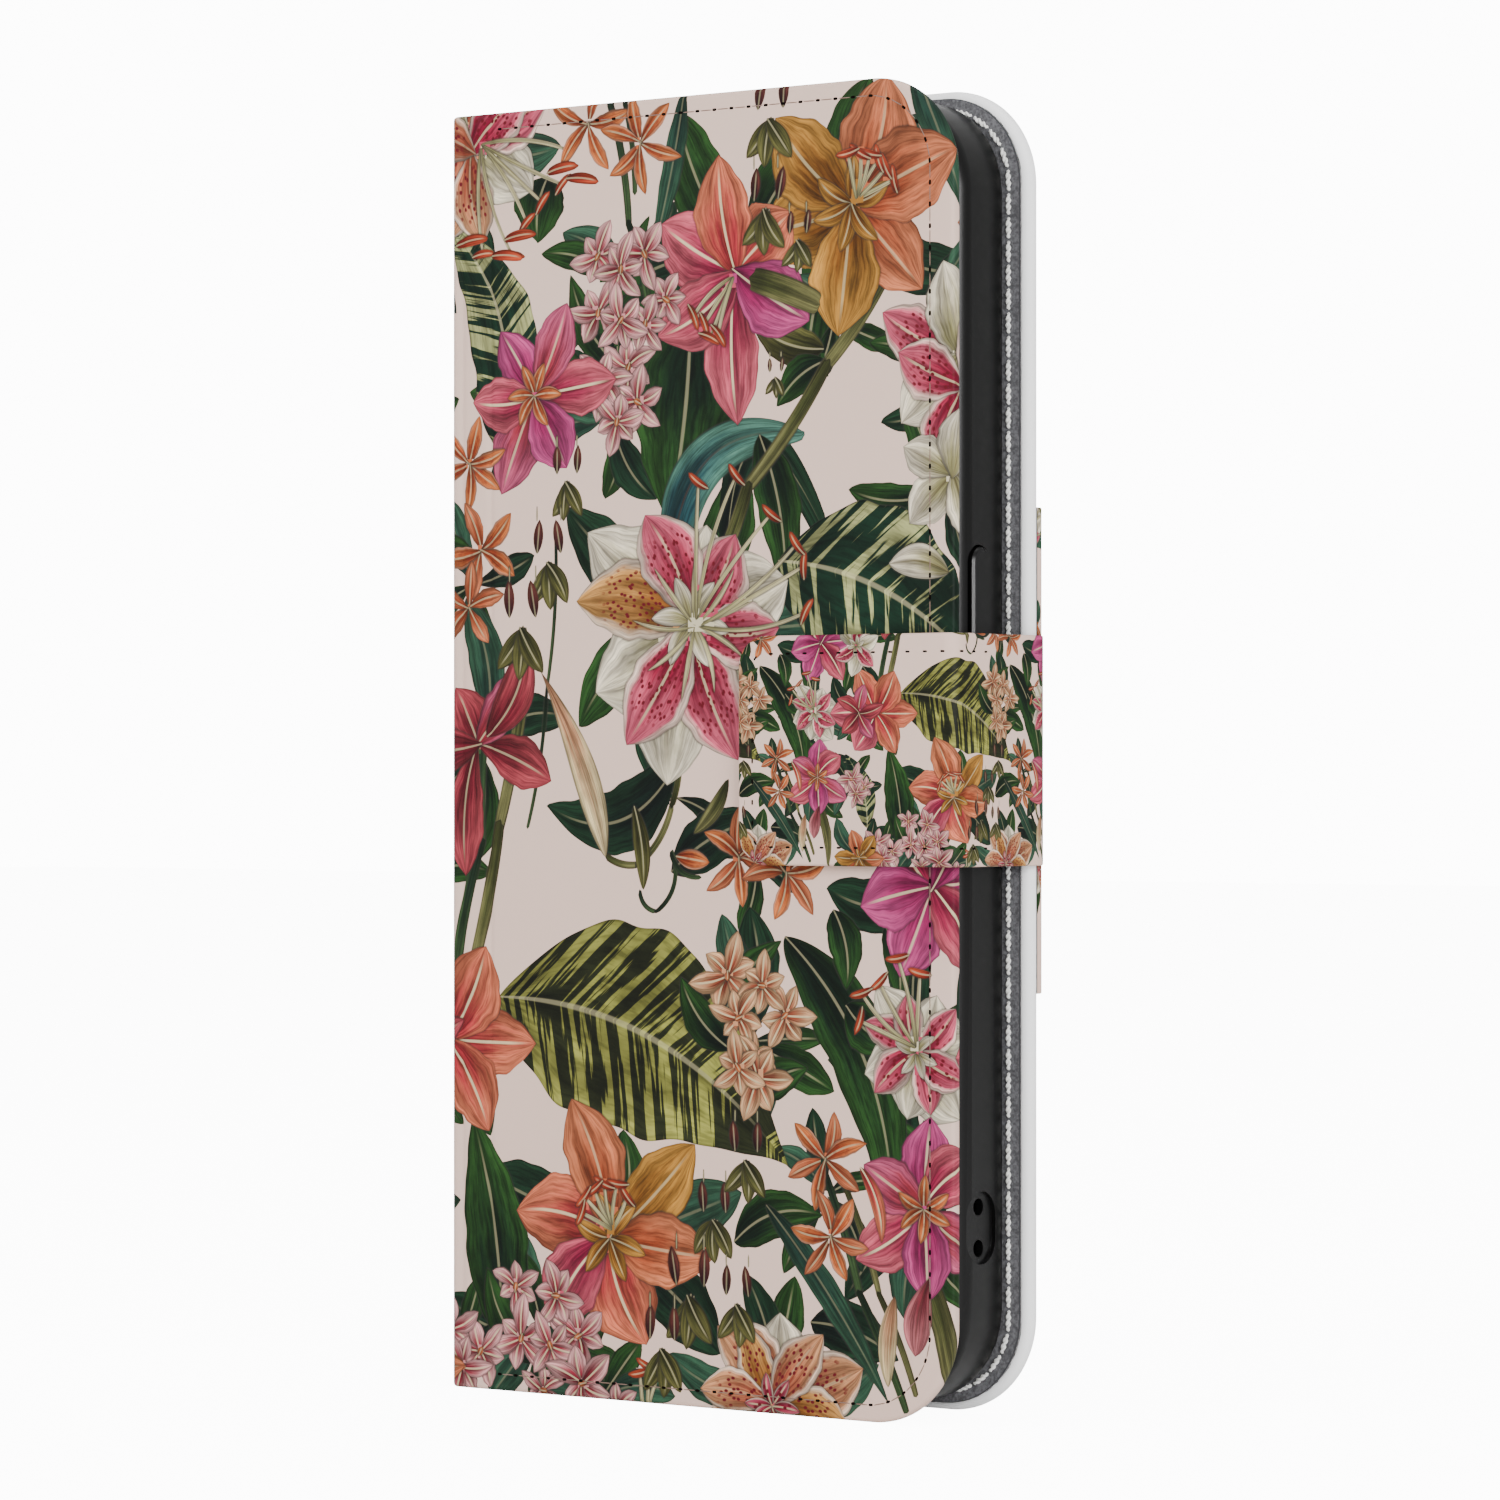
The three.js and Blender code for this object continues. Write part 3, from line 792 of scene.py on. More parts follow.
    # Large spotted lily.
    g.flower(40, 100, 19.0, 22, (k.cream,), 0.36, 6, None, (0.85, 0.72, 1.05, 0.95, 1.12, 0.8))
    g.flower(39.6, 100.4, 17.6, -8, (k.spotted, k.spotted, k.spotted, k.spotted_ochre, k.spotted, k.spotted),
             0.27, 6, k.cream, (0.8, 0.78, 0.95, 1.05, 1.05, 1.12))
    g.flower(40.2, 100, 9.5, 14, (k.filament,), 0.035, 9)
    g.stamens(40.4, 100.6, 18, 70, 36, 3)
    g.stamens(41, 100, 16.5, 22, 30, 3)
    # Right edge: spotted lilies cut by the edge.
    g.flower(81, 133, 12.5, 100, (k.cream, k.spotted, k.cream), 0.34, 6)
    g.flower(82, 129, 11.5, 160, (k.spotted,), 0.32, 4)
    g.flower(80, 118, 8.5, 150, (k.cream,), 0.36, 5)
    g.ray(79.5, 106, 172, 0, 9, 2.2, k.cream, bend=-0.1)
    # Left: crimson drooping flower, pale buds.
    g.flower(4.5, 85, 13.5, -100, (k.crimson, k.crimson, k.rose), 0.26, 5, None, (1.3, 0.95, 1.0, 0.6, 1.25))
    g.ray(6, 86, 62, 0, 14, 2.9, k.crimson, bend=-0.12)
    g.ray(15, 94.5, -66, 0, 26.5, 2.1, k.bud, bend=0.05, widest=0.62)
    g.ray(30.4, 77, -82, 0, 11, 1.3, k.olive_bud, bend=0.05)
    g.ray(45.6, 80.5, -128, 0, 9, 1.1, k.stem, bend=0.08)
    # Orange stars under the strap.
    g.flower(47.2, 70.4, 6.4, 34, (k.orange, k.amber), 0.18, 6)
    g.flower(54.6, 68.6, 6.6, 10, (k.orange, k.amber), 0.18, 6)
    g.ray(37.2, 70.5, -8, 0, 5.4, 1.3, k.orange)
    # Peach blossoms over the striped leaf.
    g.cluster(49, 50.5, 7.2, 5, k.blossom_peach, 5.2)
    g.cluster(48, 42.5, 3.0, 2, k.blossom_peach, 5.6)
    # Right: small spotted lily, pink lily.
    g.flower(77, 67, 13.5, 190, (k.magenta, k.magenta, k.pink), 0.29, 6, None,
             (0.85, 0.9, 1.0, 0.85, 0.9, 0.6))
    g.flower(75, 46, 9.6, 12, (k.cream,), 0.36, 6, None, (0.9, 0.8, 1.1))
    g.flower(74.6, 46.4, 9.6, -18, (k.spotted,), 0.25, 6, k.cream, (0.95, 0.85, 0.8))
    g.stamens(74.6, 47, 10.5, 122, 70, 5)
    g.flower(75.8, 27, 12.0, 30, (k.pink, k.magenta, k.rose), 0.3, 6, k.orange,
             (0.85, 1.0, 0.9, 1.02, 0.95, 1.0))
    g.flower(60.8, 32.6, 6.6, 20, (k.orange, k.amber), 0.18, 6)
    g.flower(61.6, 23, 6.2, 50, (k.orange, k.amber), 0.18, 6)
    g.ray(66, 32, -70, 0, 10, 1.0, k.peach, bend=0.1)
    # Lower left: peach flower at the spine, ochre lily.
    g.flower(-1, 46, 16.0, 62, (k.peach, k.peach, k.pink, k.pink), 0.3, 6, None, (0.92, 0.9, 0.98, 0.8))
    g.flower(26.5, 21, 16.8, 108, (k.amber, k.peach, k.pink, k.peach, k.amber, k.ochre), 0.3, 6, k.ochre,
             (1.08, 0.98, 0.98, 0.92, 0.98, 1.12))
    g.stamens(26.8, 22, 6, 110, 90, 6)
    g.cluster(15, 8, 8.2, 6, k.blossom, 5.2)
    g.cluster(24, -1, 5.0, 3, k.blossom, 5.0)
    g.cluster(1.5, 5, 4.6, 3, k.blossom, 5.0)
    # Bottom: spotted peach lily.
    g.flower(53.5, 1.5, 13.5, 22, (k.spotted_peach, k.cream, k.spotted_peach), 0.3, 6, None, (1.0, 0.8, 0.95))
    g.flower(52.5, 1.0, 12.0, 48, (k.spotted_peach, k.spotted_ochre), 0.25, 6, k.spotted)
    g.stamens(32, -3, 8, 84, 30, 3)
    g.ray(76.6, 18.5, -102, 0, 10, 2.1, k.pink_bud, bend=-0.06, widest=0.6)
    g.ray(71.4, 16, -95, 0, 11.5, 1.4, k.bud, bend=-0.05)
    # Hanging sprigs.
    for x, y, size in ((52.2, 163.4, 9), (51.5, 152, 8.5), (56.5, 148, 6), (19.4, 118.6, 7.5), (16.4, 108, 9),
                       (12, 99.5, 10), (43.4, 23.5, 8), (48.4, 31.4, 8), (39.5, 13.5, 10), (35, 6.5, 9),
                       (53, 131, 4), (84.5, 88, 9), (90, 140, 9), (47, 13, 8)):
        g.buds(x, y, size)
    # The part of the repeat that lies on the spine.
    g.leaf(97, 76, 86, 100, 4.2, k.leaf, 0.1)
    g.flower(90, 112, 8.5, 30, (k.rose, k.pink), 0.26, 6, k.orange)
    g.flower(88, 150, 7, 10, (k.orange,), 0.18, 6)
    g.flower(90, 66, 9, 80, (k.spotted, k.cream), 0.28, 6, k.cream)
    g.leaf(94, 12, 86, 34, 4.0, k.cream_leaf, -0.1)
    g.cluster(90, 24, 4, 3, k.blossom, 4.6)
    g.flower(88, 92, 7.5, 40, (k.orange, k.amber), 0.2, 6)
    g.cluster(91, 130, 4.5, 4, k.blossom_peach, 4.8)
    g.flower(91, 46, 9.0, 10, (k.crimson, k.rose, k.crimson), 0.26, 5)
    g.flower(91, 3, 9.0, 55, (k.ochre, k.amber), 0.28, 6, k.ochre)
    for x, y, radius, turn, count in UNDERGROWTH:
        g.rosette(x, y, radius, turn, count)
    return g.undergrowth + g.strokes


def store(mesh: bpy.types.Mesh, name: str, kind: str, domain: str, holder: str, values: Array) -> None:
    """Writes one attribute of a mesh.

    Args:
        mesh: the mesh.
        name, kind, domain: of the attribute.
        holder: the property that holds each value.
        values: the values in order.
    """
    attribute = mesh.attributes.new(name, kind, domain)
    attribute.data.foreach_set(holder, np.ascontiguousarray(values, np.float32).ravel())


class Print:
    """Writes the strokes that touch each face of a mesh into the mesh, the topmost layer first."""

    def __init__(self, strokes: Iterable[Stroke], period: float) -> None:
        """Keeps the strokes of one repeat.

        Args:
            strokes: the repeat's strokes, the lowest first.
            period: width of the repeat.
        """
        self.strokes = list(strokes)
        self.period = period

    def repeated(self, low: float, high: float) -> list[Stroke]:
        """The strokes of every repeat that reaches between two x values, the topmost first.

        Args:
            low, high: the range of x.

        Returns:
            The strokes.
        """
        out: list[Stroke] = []
        first, last = math.floor(low / self.period) - 1, math.floor(high / self.period) + 1
        for stroke in reversed(self.strokes):
            for n in range(first, last + 1):
                dx = n * self.period
                moved = replace(stroke, start=(stroke.start[0] + dx, stroke.start[1]),
                                end=(stroke.end[0] + dx, stroke.end[1]))
                reach = moved.reach()
                if reach[1] > low and reach[0] < high:
                    out.append(moved)
        return out

    def paint(self, mesh: bpy.types.Mesh, corners: Array) -> None:
        """Stores up to LAYERS strokes on each face, and one flat colour for what lies under them.

        A face is done when a stroke covers all four of its corners. Each corner keeps the distance along
        the stroke, the signed distance from its midline and its half width, all of which are straight
        enough across one face for the shader to rebuild the outline from them.

        Args:
            mesh: a mesh of four-sided faces.
            corners: print coordinates of the corners, faces x 4 x 2.
        """
        count = len(corners)
        x, y = corners[..., 0], corners[..., 1]
        x_low, x_high, y_low, y_high = x.min(1), x.max(1), y.min(1), y.max(1)
        shape = np.zeros((LAYERS, count, 4, 3), np.float32)
        shape[..., 2] = UNUSED_WIDTH
        inner, outer, style = (np.zeros((LAYERS, count, 4), np.float32) for _ in range(3))
        style[..., 3] = 1.0
        base = np.empty((count, 4), np.float32)
        base[:] = (*GROUND, 1.0)
        used = np.zeros(count, int)
        closed = np.zeros(count, bool)
        for stroke in self.repeated(float(x.min()), float(x.max())):
            left, right, bottom, top = stroke.reach()
            near = np.flatnonzero(~closed & (x_high > left) & (x_low < right)
                                  & (y_high > bottom) & (y_low < top))
            if not len(near):
                continue
            along, across, width = stroke.local(x[near], y[near])
            room = width - np.abs(across)
            crossed = (across.min(1) < 0) & (across.max(1) > 0) & (width.max(1) > 0)
            touched = (room.max(1) > -SHADE_REACH) | crossed
            near, along, across, width, room = (a[touched] for a in (near, along, across, width, room))
            free = used[near] < LAYERS
            faces, layer = near[free], used[near[free]]
            shape[layer, faces] = np.stack([along[free], across[free], width[free]], -1)
            inner[layer, faces] = (*stroke.look.inner, stroke.seed)
            outer[layer, faces] = (*stroke.look.outer, stroke.look.veins)
            style[layer, faces] = (stroke.look.spots, stroke.look.stripes, stroke.look.rib, stroke.length)
            used[faces] += 1
            late = near[~free & (room.mean(1) > 0)]
            base[late, :3] = (np.array(stroke.look.inner) + stroke.look.outer) / 2
            closed[late] = True
            closed[near[room.min(1) > SOFT_EDGE]] = True
        for k in range(LAYERS):
            store(mesh, f"stroke{k}_shape", "FLOAT_VECTOR", "CORNER", "vector", shape[k])
            store(mesh, f"stroke{k}_inner", "FLOAT_COLOR", "FACE", "color", inner[k])
            store(mesh, f"stroke{k}_outer", "FLOAT_COLOR", "FACE", "color", outer[k])
            store(mesh, f"stroke{k}_style", "FLOAT_COLOR", "FACE", "color", style[k])
        store(mesh, "stroke_base", "FLOAT_COLOR", "FACE", "color", base)


def stroke_group() -> bpy.types.NodeTree:
    """The node group that paints one stroke over what lies below it.

    Returns:
        The group.
    """
    found = bpy.data.node_groups.get("Painted stroke")
    if found:
        return found
    tree = bpy.data.node_groups.new("Painted stroke", "ShaderNodeTree")
    for name, kind in (("Below", "Color"), ("Covered", "Float"), ("Shape", "Vector"), ("Inner", "Color"),
                       ("Outer", "Color"), ("Style", "Vector"), ("Seed", "Float"), ("Veins", "Float"),
                       ("Length", "Float")):
        tree.interface.new_socket(name, in_out="INPUT", socket_type=f"NodeSocket{kind}")
    tree.interface.new_socket("Colour", in_out="OUTPUT", socket_type="NodeSocketColor")
    tree.interface.new_socket("Covered", in_out="OUTPUT", socket_type="NodeSocketFloat")
    g = Graph(tree)
    plus, minus, times = (partial(g.math, kind) for kind in ("ADD", "SUBTRACT", "MULTIPLY"))
    given = g.add("NodeGroupInput").outputs
    along, across, width = g.parts(given["Shape"])
    spots, stripes, rib = g.parts(given["Style"])
    away = g.math("ABSOLUTE", across)
    room = minus(width, away)
    mask = g.ramp(room, -SOFT_EDGE, SOFT_EDGE)
    share = g.math("DIVIDE", along, g.math("MAXIMUM", given["Length"], 0.1), clamp=True)
    side = g.math("DIVIDE", across, g.math("MAXIMUM", width, 0.1))
    out = g.math("MINIMUM", g.math("ABSOLUTE", side), 1.0)
    seed = times(given["Seed"], 50.0)
    streak = g.noise(g.vector(times(along, 0.16), times(side, 5.0), seed), 1.0, 4.0, 0.62)
    wash = g.noise(g.vector(times(along, 0.3), times(across, 0.3), seed), 1.0, 3.0)
    # From the inner to the outer colour: towards the tip and towards the edge.
    spread = plus(g.ramp(share, 0.1, 1.0, 0.0, 0.8), times(g.math("POWER", out, 2.5), 0.75))
    spread = plus(spread, times(minus(streak, 0.5), 1.1))
    spread = g.ramp(spread, 0.0, 1.0)
    # Stripes that run out from the midrib and lean towards the tip.
    lean = minus(along, times(away, 0.55))
    comb = g.noise(g.vector(times(lean, 0.42), times(away, 0.035), seed), 1.0, 2.0, 0.75)
    ragged = g.noise(g.vector(times(lean, 2.6), times(away, 0.16), seed), 1.0, 2.0)
    comb = plus(comb, times(minus(ragged, 0.5), 0.3))
    spread = plus(times(spread, minus(1.0, stripes)),
                    times(g.ramp(comb, 0.5, 0.54), stripes))
    colour = g.mix(spread, given["Inner"], given["Outer"])
    # A pale ruffled margin on a freckled shape.
    margin = g.ramp(plus(out, times(minus(streak, 0.5), 0.5)), 0.66, 0.94)
    colour = g.mix(times(margin, times(spots, 0.85)), colour, tint(224, 204, 184))
    # Fine veins, brush marks and a soft roll of light across the shape.
    veins = g.noise(g.vector(times(along, 0.22), times(side, 13.0), seed), 1.0, 2.0, 0.7)
    marks = g.ramp(veins, 0.34, 0.6, 0.5, 1.1)
    marks = plus(times(marks, given["Veins"]), minus(1.0, given["Veins"]))
    light = plus(0.5, times(wash, 0.92))
    roll = minus(1.0, times(g.ramp(side, -1.0, 1.0), 0.28))
    tone = times(times(marks, light), roll)
    # Broad lengthwise folds, and a darker throat where the shape springs from.
    folds = g.noise(g.vector(times(along, 0.06), times(side, 2.6), seed), 1.0, 2.0)
    tone = times(tone, g.ramp(folds, 0.36, 0.6, 0.52, 1.12))
    tone = times(tone, g.ramp(share, 0.0, 0.35, 0.55, 1.0))
    tone = times(tone, g.ramp(room, 0.0, 0.4, 0.5, 1.0))
    colour = g.mix(1.0, colour, g.vector(tone, tone, tone), "MULTIPLY")
    # Midrib: pale when rib is above 0, dark when below.
    line = minus(1.0, g.ramp(g.math("DIVIDE", away, plus(0.1, times(width, 0.022))),
                                          0.6, 1.4))
    line = times(line, g.ramp(share, 0.96, 0.7))
    pale = times(line, g.math("MAXIMUM", rib, 0.0))
    dark = times(line, g.math("MAXIMUM", times(rib, -1.0), 0.0))
    colour = g.mix(pale, colour, tint(214, 204, 160))
    colour = g.mix(dark, colour, tint(70, 44, 30))
    # Freckles in the middle of the shape.
    cells = g.add("ShaderNodeTexVoronoi", voronoi_dimensions="2D")
    g.put(cells.inputs["Vector"], g.vector(times(along, 0.8), times(across, 1.15)))
    g.put(cells.inputs["Scale"], 1.0)
    dots = minus(1.0, g.ramp(cells.outputs["Distance"], 0.16, 0.3))
    dots = times(dots, g.ramp(out, 0.85, 0.6))
    dots = times(times(dots, g.ramp(share, 0.85, 0.7)), g.ramp(share, 0.12, 0.25))
    colour = g.mix(times(dots, spots), colour, tint(84, 10, 22))
    # A thin shade on whatever painted shape lies below.
    shade = times(g.ramp(room, -SHADE_REACH, 0.0, 0.0, 0.62), given["Covered"])
    below = g.mix(shade, given["Below"], (0.02, 0.018, 0.016))
    made = g.add("NodeGroupOutput").inputs
    g.put(made["Colour"], g.mix(mask, below, colour))
    g.put(made["Covered"], g.math("MAXIMUM", mask, given["Covered"]))
    return tree


@dataclass(frozen=True)
class PrintedLeather(Finish):
    """Smooth coated leather that carries the print; its turned-in edge may be left bare."""

    bare: Colour = tint(250, 250, 250)
    backing: Colour = tint(96, 96, 99)

    def surface(self, graph: Graph) -> tuple[object, object, object]:
        """Layers of painted strokes over the ground colour, with a fine leather grain.

        Args:
            graph: the material's node tree.

        Returns:
            Base colour, roughness and normal.
        """
        colour = graph.attribute("stroke_base").outputs["Color"]
        covered: object = 0.0
        for k in reversed(range(LAYERS)):
            layer = graph.add("ShaderNodeGroup")
            layer.node_tree = stroke_group()
            shape, inner, outer, style = (graph.attribute(f"stroke{k}_{name}")
                                          for name in ("shape", "inner", "outer", "style"))
            graph.put(layer.inputs["Below"], colour)
            graph.put(layer.inputs["Covered"], covered)
            graph.put(layer.inputs["Shape"], shape.outputs["Vector"])
            graph.put(layer.inputs["Inner"], inner.outputs["Color"])
            graph.put(layer.inputs["Outer"], outer.outputs["Color"])
            graph.put(layer.inputs["Style"], style.outputs["Vector"])
            graph.put(layer.inputs["Seed"], inner.outputs["Alpha"])
            graph.put(layer.inputs["Veins"], outer.outputs["Alpha"])
            graph.put(layer.inputs["Length"], style.outputs["Alpha"])
            colour, covered = layer.outputs["Colour"], layer.outputs["Covered"]
        bare = graph.attribute("bare").outputs["Fac"]
        colour = graph.mix(bare, colour, self.bare)
        colour = graph.mix(graph.add("ShaderNodeNewGeometry").outputs["Backfacing"], colour, self.backing)
        grain = graph.noise(object_point(graph), 1900.0, 3.0, 0.6)
        return colour, self.roughness, graph.bump(grain, 0.22, 0.00006)


PRINTED = PrintedLeather("Printed leather", GROUND, 0.55, 0.1)
SUEDE = Suede("Grey suede", tint(90, 90, 93), 0.95, 0.1, 0.2)
TRAY = SoftPlastic("Black soft plastic", tint(8, 8, 8), 0.3, 0.2)
BOARD = Finish("Grey board", tint(104, 103, 104), 0.9)
ADHESIVE = Finish("Adhesive sheet", tint(222, 222, 216), 0.5)
STEEL = Finish("Plated steel", tint(170, 170, 172), 0.3, 0.8)
WHITE_THREAD = Finish("White thread", tint(226, 226, 222), 0.7, 0.3)
# Painted shade: near-black marks for the shade inside each needle hole.
NEEDLE_HOLE_SHADE = Finish("Needle hole shade", tint(14, 10, 9), 0.9, 0.0)
BROWN_THREAD = Finish("Brown thread", tint(120, 98, 88), 0.8, 0.2)
GREY_THREAD = Finish("Grey thread", tint(150, 150, 152), 0.75, 0.3)


# ---------------------------------------------------------------------------------------------------
# Sheets
# ---------------------------------------------------------------------------------------------------


@dataclass(frozen=True)
class Bend:
    """Plan of a sheet that turns one square corner: a run, a quarter bend and a second run."""

    start: tuple[float, float]
    corner: tuple[float, float]
    end: tuple[float, float]
    radius: float

    def runs(self) -> tuple[Array, Array, float, float]:
        """Measures the two runs.

        Returns:
            Their directions, the length of the first and the length of the bend.
        """
        first = np.subtract(self.corner, self.start)
        second = np.subtract(self.end, self.corner)
        run = float(np.linalg.norm(first)) - self.radius
        return first / np.linalg.norm(first), second / np.linalg.norm(second), run, math.pi * self.radius / 2

    @property
    def stops(self) -> tuple[float, float, float]:
        """Distances along the path.

        Returns:
            Where the bend starts, where it ends and where the path ends.
        """
        _, _, run, arc = self.runs()
        second = math.dist(self.corner, self.end) - self.radius
        return run, run + arc, run + arc + second

    def place(self, p: Array, depth: Array) -> tuple[Array, Array]:
        """Plan position of points.

        On the bend, of radius r and centre c, a point at angle t and depth e is
        c - n (r - e) cos t + d (r - e) sin t, with d the first run's direction and n the second's.

        Args:
            p: distance along the path.
            depth: distance to the inside of the bend.

        Returns:
            x and y.
        """
        d, n, run, arc = self.runs()
        centre = np.add(self.start, d * run) + n * self.radius
        angle = np.clip((p - run) / self.radius, 0, math.pi / 2)
        reach = self.radius - depth
        before, after = np.minimum(p - run, 0), np.maximum(p - run - arc, 0)
        cosine, sine = reach * np.cos(angle), reach * np.sin(angle)
        return (centre[0] - n[0] * cosine + d[0] * sine + d[0] * before + n[0] * after,
                centre[1] - n[1] * cosine + d[1] * sine + d[1] * before + n[1] * after)


@dataclass(frozen=True)
class Opening:
    """A rounded rectangular opening in a sheet, in distance along the path and height."""

    p_low: float
    p_high: float
    z_low: float
    z_high: float
    corner: float

    def distance(self, p: Array, z: Array) -> tuple[Array, Array, Array]:
        """Signed distance from the outline, below 0 inside, and the direction away from it.

        Args:
            p, z: the points.

        Returns:
            Distance, and the direction's p and z.
        """
        cp, cz = (self.p_low + self.p_high) / 2, (self.z_low + self.z_high) / 2
        hp = (self.p_high - self.p_low) / 2 - self.corner
        hz = (self.z_high - self.z_low) / 2 - self.corner
        dp, dz = np.abs(p - cp) - hp, np.abs(z - cz) - hz
        far = np.hypot(np.maximum(dp, 0), np.maximum(dz, 0))
        value = far + np.minimum(np.maximum(dp, dz), 0) - self.corner
        both = (dp > 0) & (dz > 0)
        safe = np.maximum(far, 1e-9)
        np_ = np.where(both, dp / safe, np.where(dp > dz, 1.0, 0.0)) * np.sign(p - cp)
        nz_ = np.where(both, dz / safe, np.where(dp > dz, 0.0, 1.0)) * np.sign(z - cz)
        return value, np_, nz_

    def outline(self, steps: int) -> tuple[Array, Array, Array, Array]:
        """Points once round the outline and their directions outward.

        Args:
            steps: points on each quarter corner.

        Returns:
            p, z, and the direction's p and z.
        """
        t = np.linspace(0, math.pi / 2, steps)
        ps, zs, nps, nzs = [], [], [], []
        for k, (sp, sz) in enumerate(((1, 1), (-1, 1), (-1, -1), (1, -1))):
            a = t + k * math.pi / 2
            cp = (self.p_high - self.corner) if sp > 0 else (self.p_low + self.corner)
            cz = (self.z_high - self.corner) if sz > 0 else (self.z_low + self.corner)
            ps.append(cp + self.corner * np.cos(a))
            zs.append(cz + self.corner * np.sin(a))
            nps.append(np.cos(a))
            nzs.append(np.sin(a))
        return tuple(np.concatenate(v) for v in (ps, zs, nps, nzs))


@dataclass(frozen=True)
class Sheet:
    """A sheet whose three free edges are rounded over; its fourth edge is the seam at the path's start.

    The first run's edge is thin_start times as thick as the rest.
    """

    name: str
    bend: Bend
    low: float
    high: float
    corner: float
    fold: float
    thickness: float
    lip: float = 1.5
    inward: float = 1.0
    cell: float = 0.6
    opening: Opening | None = None
    # Share of the rounded edge that takes the edge colour: bare white on leather, painted shade on suede.
    edge_bare_and_shade: float = 0.0
    thin_start: float = 1.0
    print_origin: tuple[float, float] = (0.0, 0.0)
    print_scale: float = 1.0
    print_turn: float = 1.0
    creases: tuple[float, ...] = ()

    def levels(self) -> Array:
        """Distances along the path of the grid's columns, closer together on the bend.

        Returns:
            The distances in order, from 0 to where the free edge starts to round over.
        """
        run, bent, end = self.bend.stops
        last = end - self.fold
        fine = bent + max((c + 1.5 for c in self.creases), default=0.0)
        parts = [np.linspace(0, run, max(2, math.ceil(run / self.cell) + 1)),
                 np.linspace(run, bent, 7)[1:],
                 np.linspace(bent, fine, math.ceil((fine - bent) / 0.25) + 1)[1:],
                 np.linspace(fine, last, math.ceil((last - fine) / self.cell) + 1)[1:]]
        return np.concatenate(parts)

    def rows(self) -> tuple[Array, Array, Array, Array]:
        """Heights of the grid's rows, how far each reaches and its direction outward at the free edge.

        Round a corner of radius R, rows lie at centre -+ R cos t and reach centre + R sin t.

        Returns:
            Heights, reaches, and the direction's p and z.
        """
        radius = self.corner - self.fold
        centre = self.bend.stops[2] - self.corner
        steps = max(4, math.ceil(radius * math.pi / 2 / max(self.cell, 0.45)))
        t = np.linspace(0, math.pi / 2, steps + 1)
        low, high = self.low + self.corner, self.high - self.corner
        middle = np.linspace(low, high, math.ceil((high - low) / self.cell) + 1)[1:-1]
        height = np.concatenate([low - radius * np.cos(t), middle, high + radius * np.cos(t[::-1])])
        flat = np.ones_like(middle)
        reach = centre + radius * np.concatenate([np.sin(t), flat, np.sin(t[::-1])])
        out_p = np.concatenate([np.sin(t), flat, np.sin(t[::-1])])
        out_z = np.concatenate([-np.cos(t), 0 * flat, np.cos(t[::-1])])
        return height, reach, out_p, out_z

    def edge_profile(self) -> Array:
        """Section of the rounded edge: distance outward, depth and distance travelled, for each ring.

        Returns:
            One row for each ring.
        """
        r = self.fold
        t = np.linspace(0, math.pi / 2, 6)[1:]
        turn = np.stack([r * np.sin(t), r * (1 - np.cos(t)), r * t], 1)
        wall = max(self.thickness - 2 * r, 0.02)
        far = turn[-1, 2] + wall
        back = np.stack([r * np.cos(t), r + wall + r * np.sin(t), far + r * t], 1)
        lip = np.array([[-self.lip, 2 * r + wall, far + r * math.pi / 2 + self.lip]])
        return np.concatenate([turn, [[r, r + wall, far]], back, lip])

    def build(self, finish: Finish, slot: Slot, motif: Print | None = None) -> bpy.types.Object:
        """Makes the sheet as one mesh of four-sided faces.

        A crease at c is d exp(-((p - c) / w)^2) deep, with d its depth and w its width.

        Args:
            finish: its finish.
            slot: the record's slot; not used.
            motif: the print, if it carries one.

        Returns:
            The object, at the origin.
        """
        columns, (heights, reach, out_p, out_z) = self.levels(), self.rows()
        nx, nz = len(columns), len(heights)
        last = columns[-1]
        fixed = min(last - 2.4 * self.corner, last * 0.5)
        stretch = (reach[:, None] - fixed) / (last - fixed)
        base = np.broadcast_to(columns, (nz, nx))
        p = np.where(base > fixed, fixed + (base - fixed) * stretch, base)
        z = np.broadcast_to(heights[:, None], (nz, nx)).copy()
        index = np.arange(nx * nz).reshape(nz, nx)
        faces = [np.stack([index[:-1, :-1], index[:-1, 1:], index[1:, 1:], index[1:, :-1]],
                          -1).reshape(-1, 4)]
        if self.opening:
            p, z, faces[0] = self._pierced(p, z, faces[0])
        loop = np.concatenate([index[0, :], index[1:, -1], index[-1, -2::-1]])
        loop_p = np.concatenate([np.zeros(nx - 1), out_p, np.zeros(nx - 1)])
        loop_z = np.concatenate([-np.ones(nx - 1), out_z, np.ones(nx - 1)])
        flat = p.ravel() - self.bend.stops[1]
        dent = sum((CREASE_DEPTH * np.exp(-(((flat - c) / CREASE_WIDTH) ** 2)) for c in self.creases),
                   np.zeros(p.size))
        flat_p, flat_z, depth = [p.ravel()], [z.ravel()], [dent]
        real_p, real_z, bare = [p.ravel()], [z.ravel()], [np.zeros(p.size)]
        start, previous = p.size, loop
        lp, lz = p.ravel()[loop], z.ravel()[loop]
        run, bent, _ = self.bend.stops
        thin = self.thin_start + (1 - self.thin_start) * np.clip((lp - run) / (bent - run), 0, 1)
        for out, down, travel in self.edge_profile():
            ring = start + np.arange(len(loop))
            real_p.append(lp + loop_p * out)
            real_z.append(lz + loop_z * out)
            flat_p.append(lp + loop_p * travel)
            flat_z.append(lz + loop_z * travel)
            depth.append(down * thin)
            bare.append(np.full(len(loop), self.edge_bare_and_shade))
            faces.append(np.stack([previous[:-1], ring[:-1], ring[1:], previous[1:]], -1))
            previous, start = ring, start + len(loop)
        if self.opening:
            for part, values in zip((real_p, real_z, flat_p, flat_z, depth, bare), self._rim(start, faces)):
                part.extend(values)
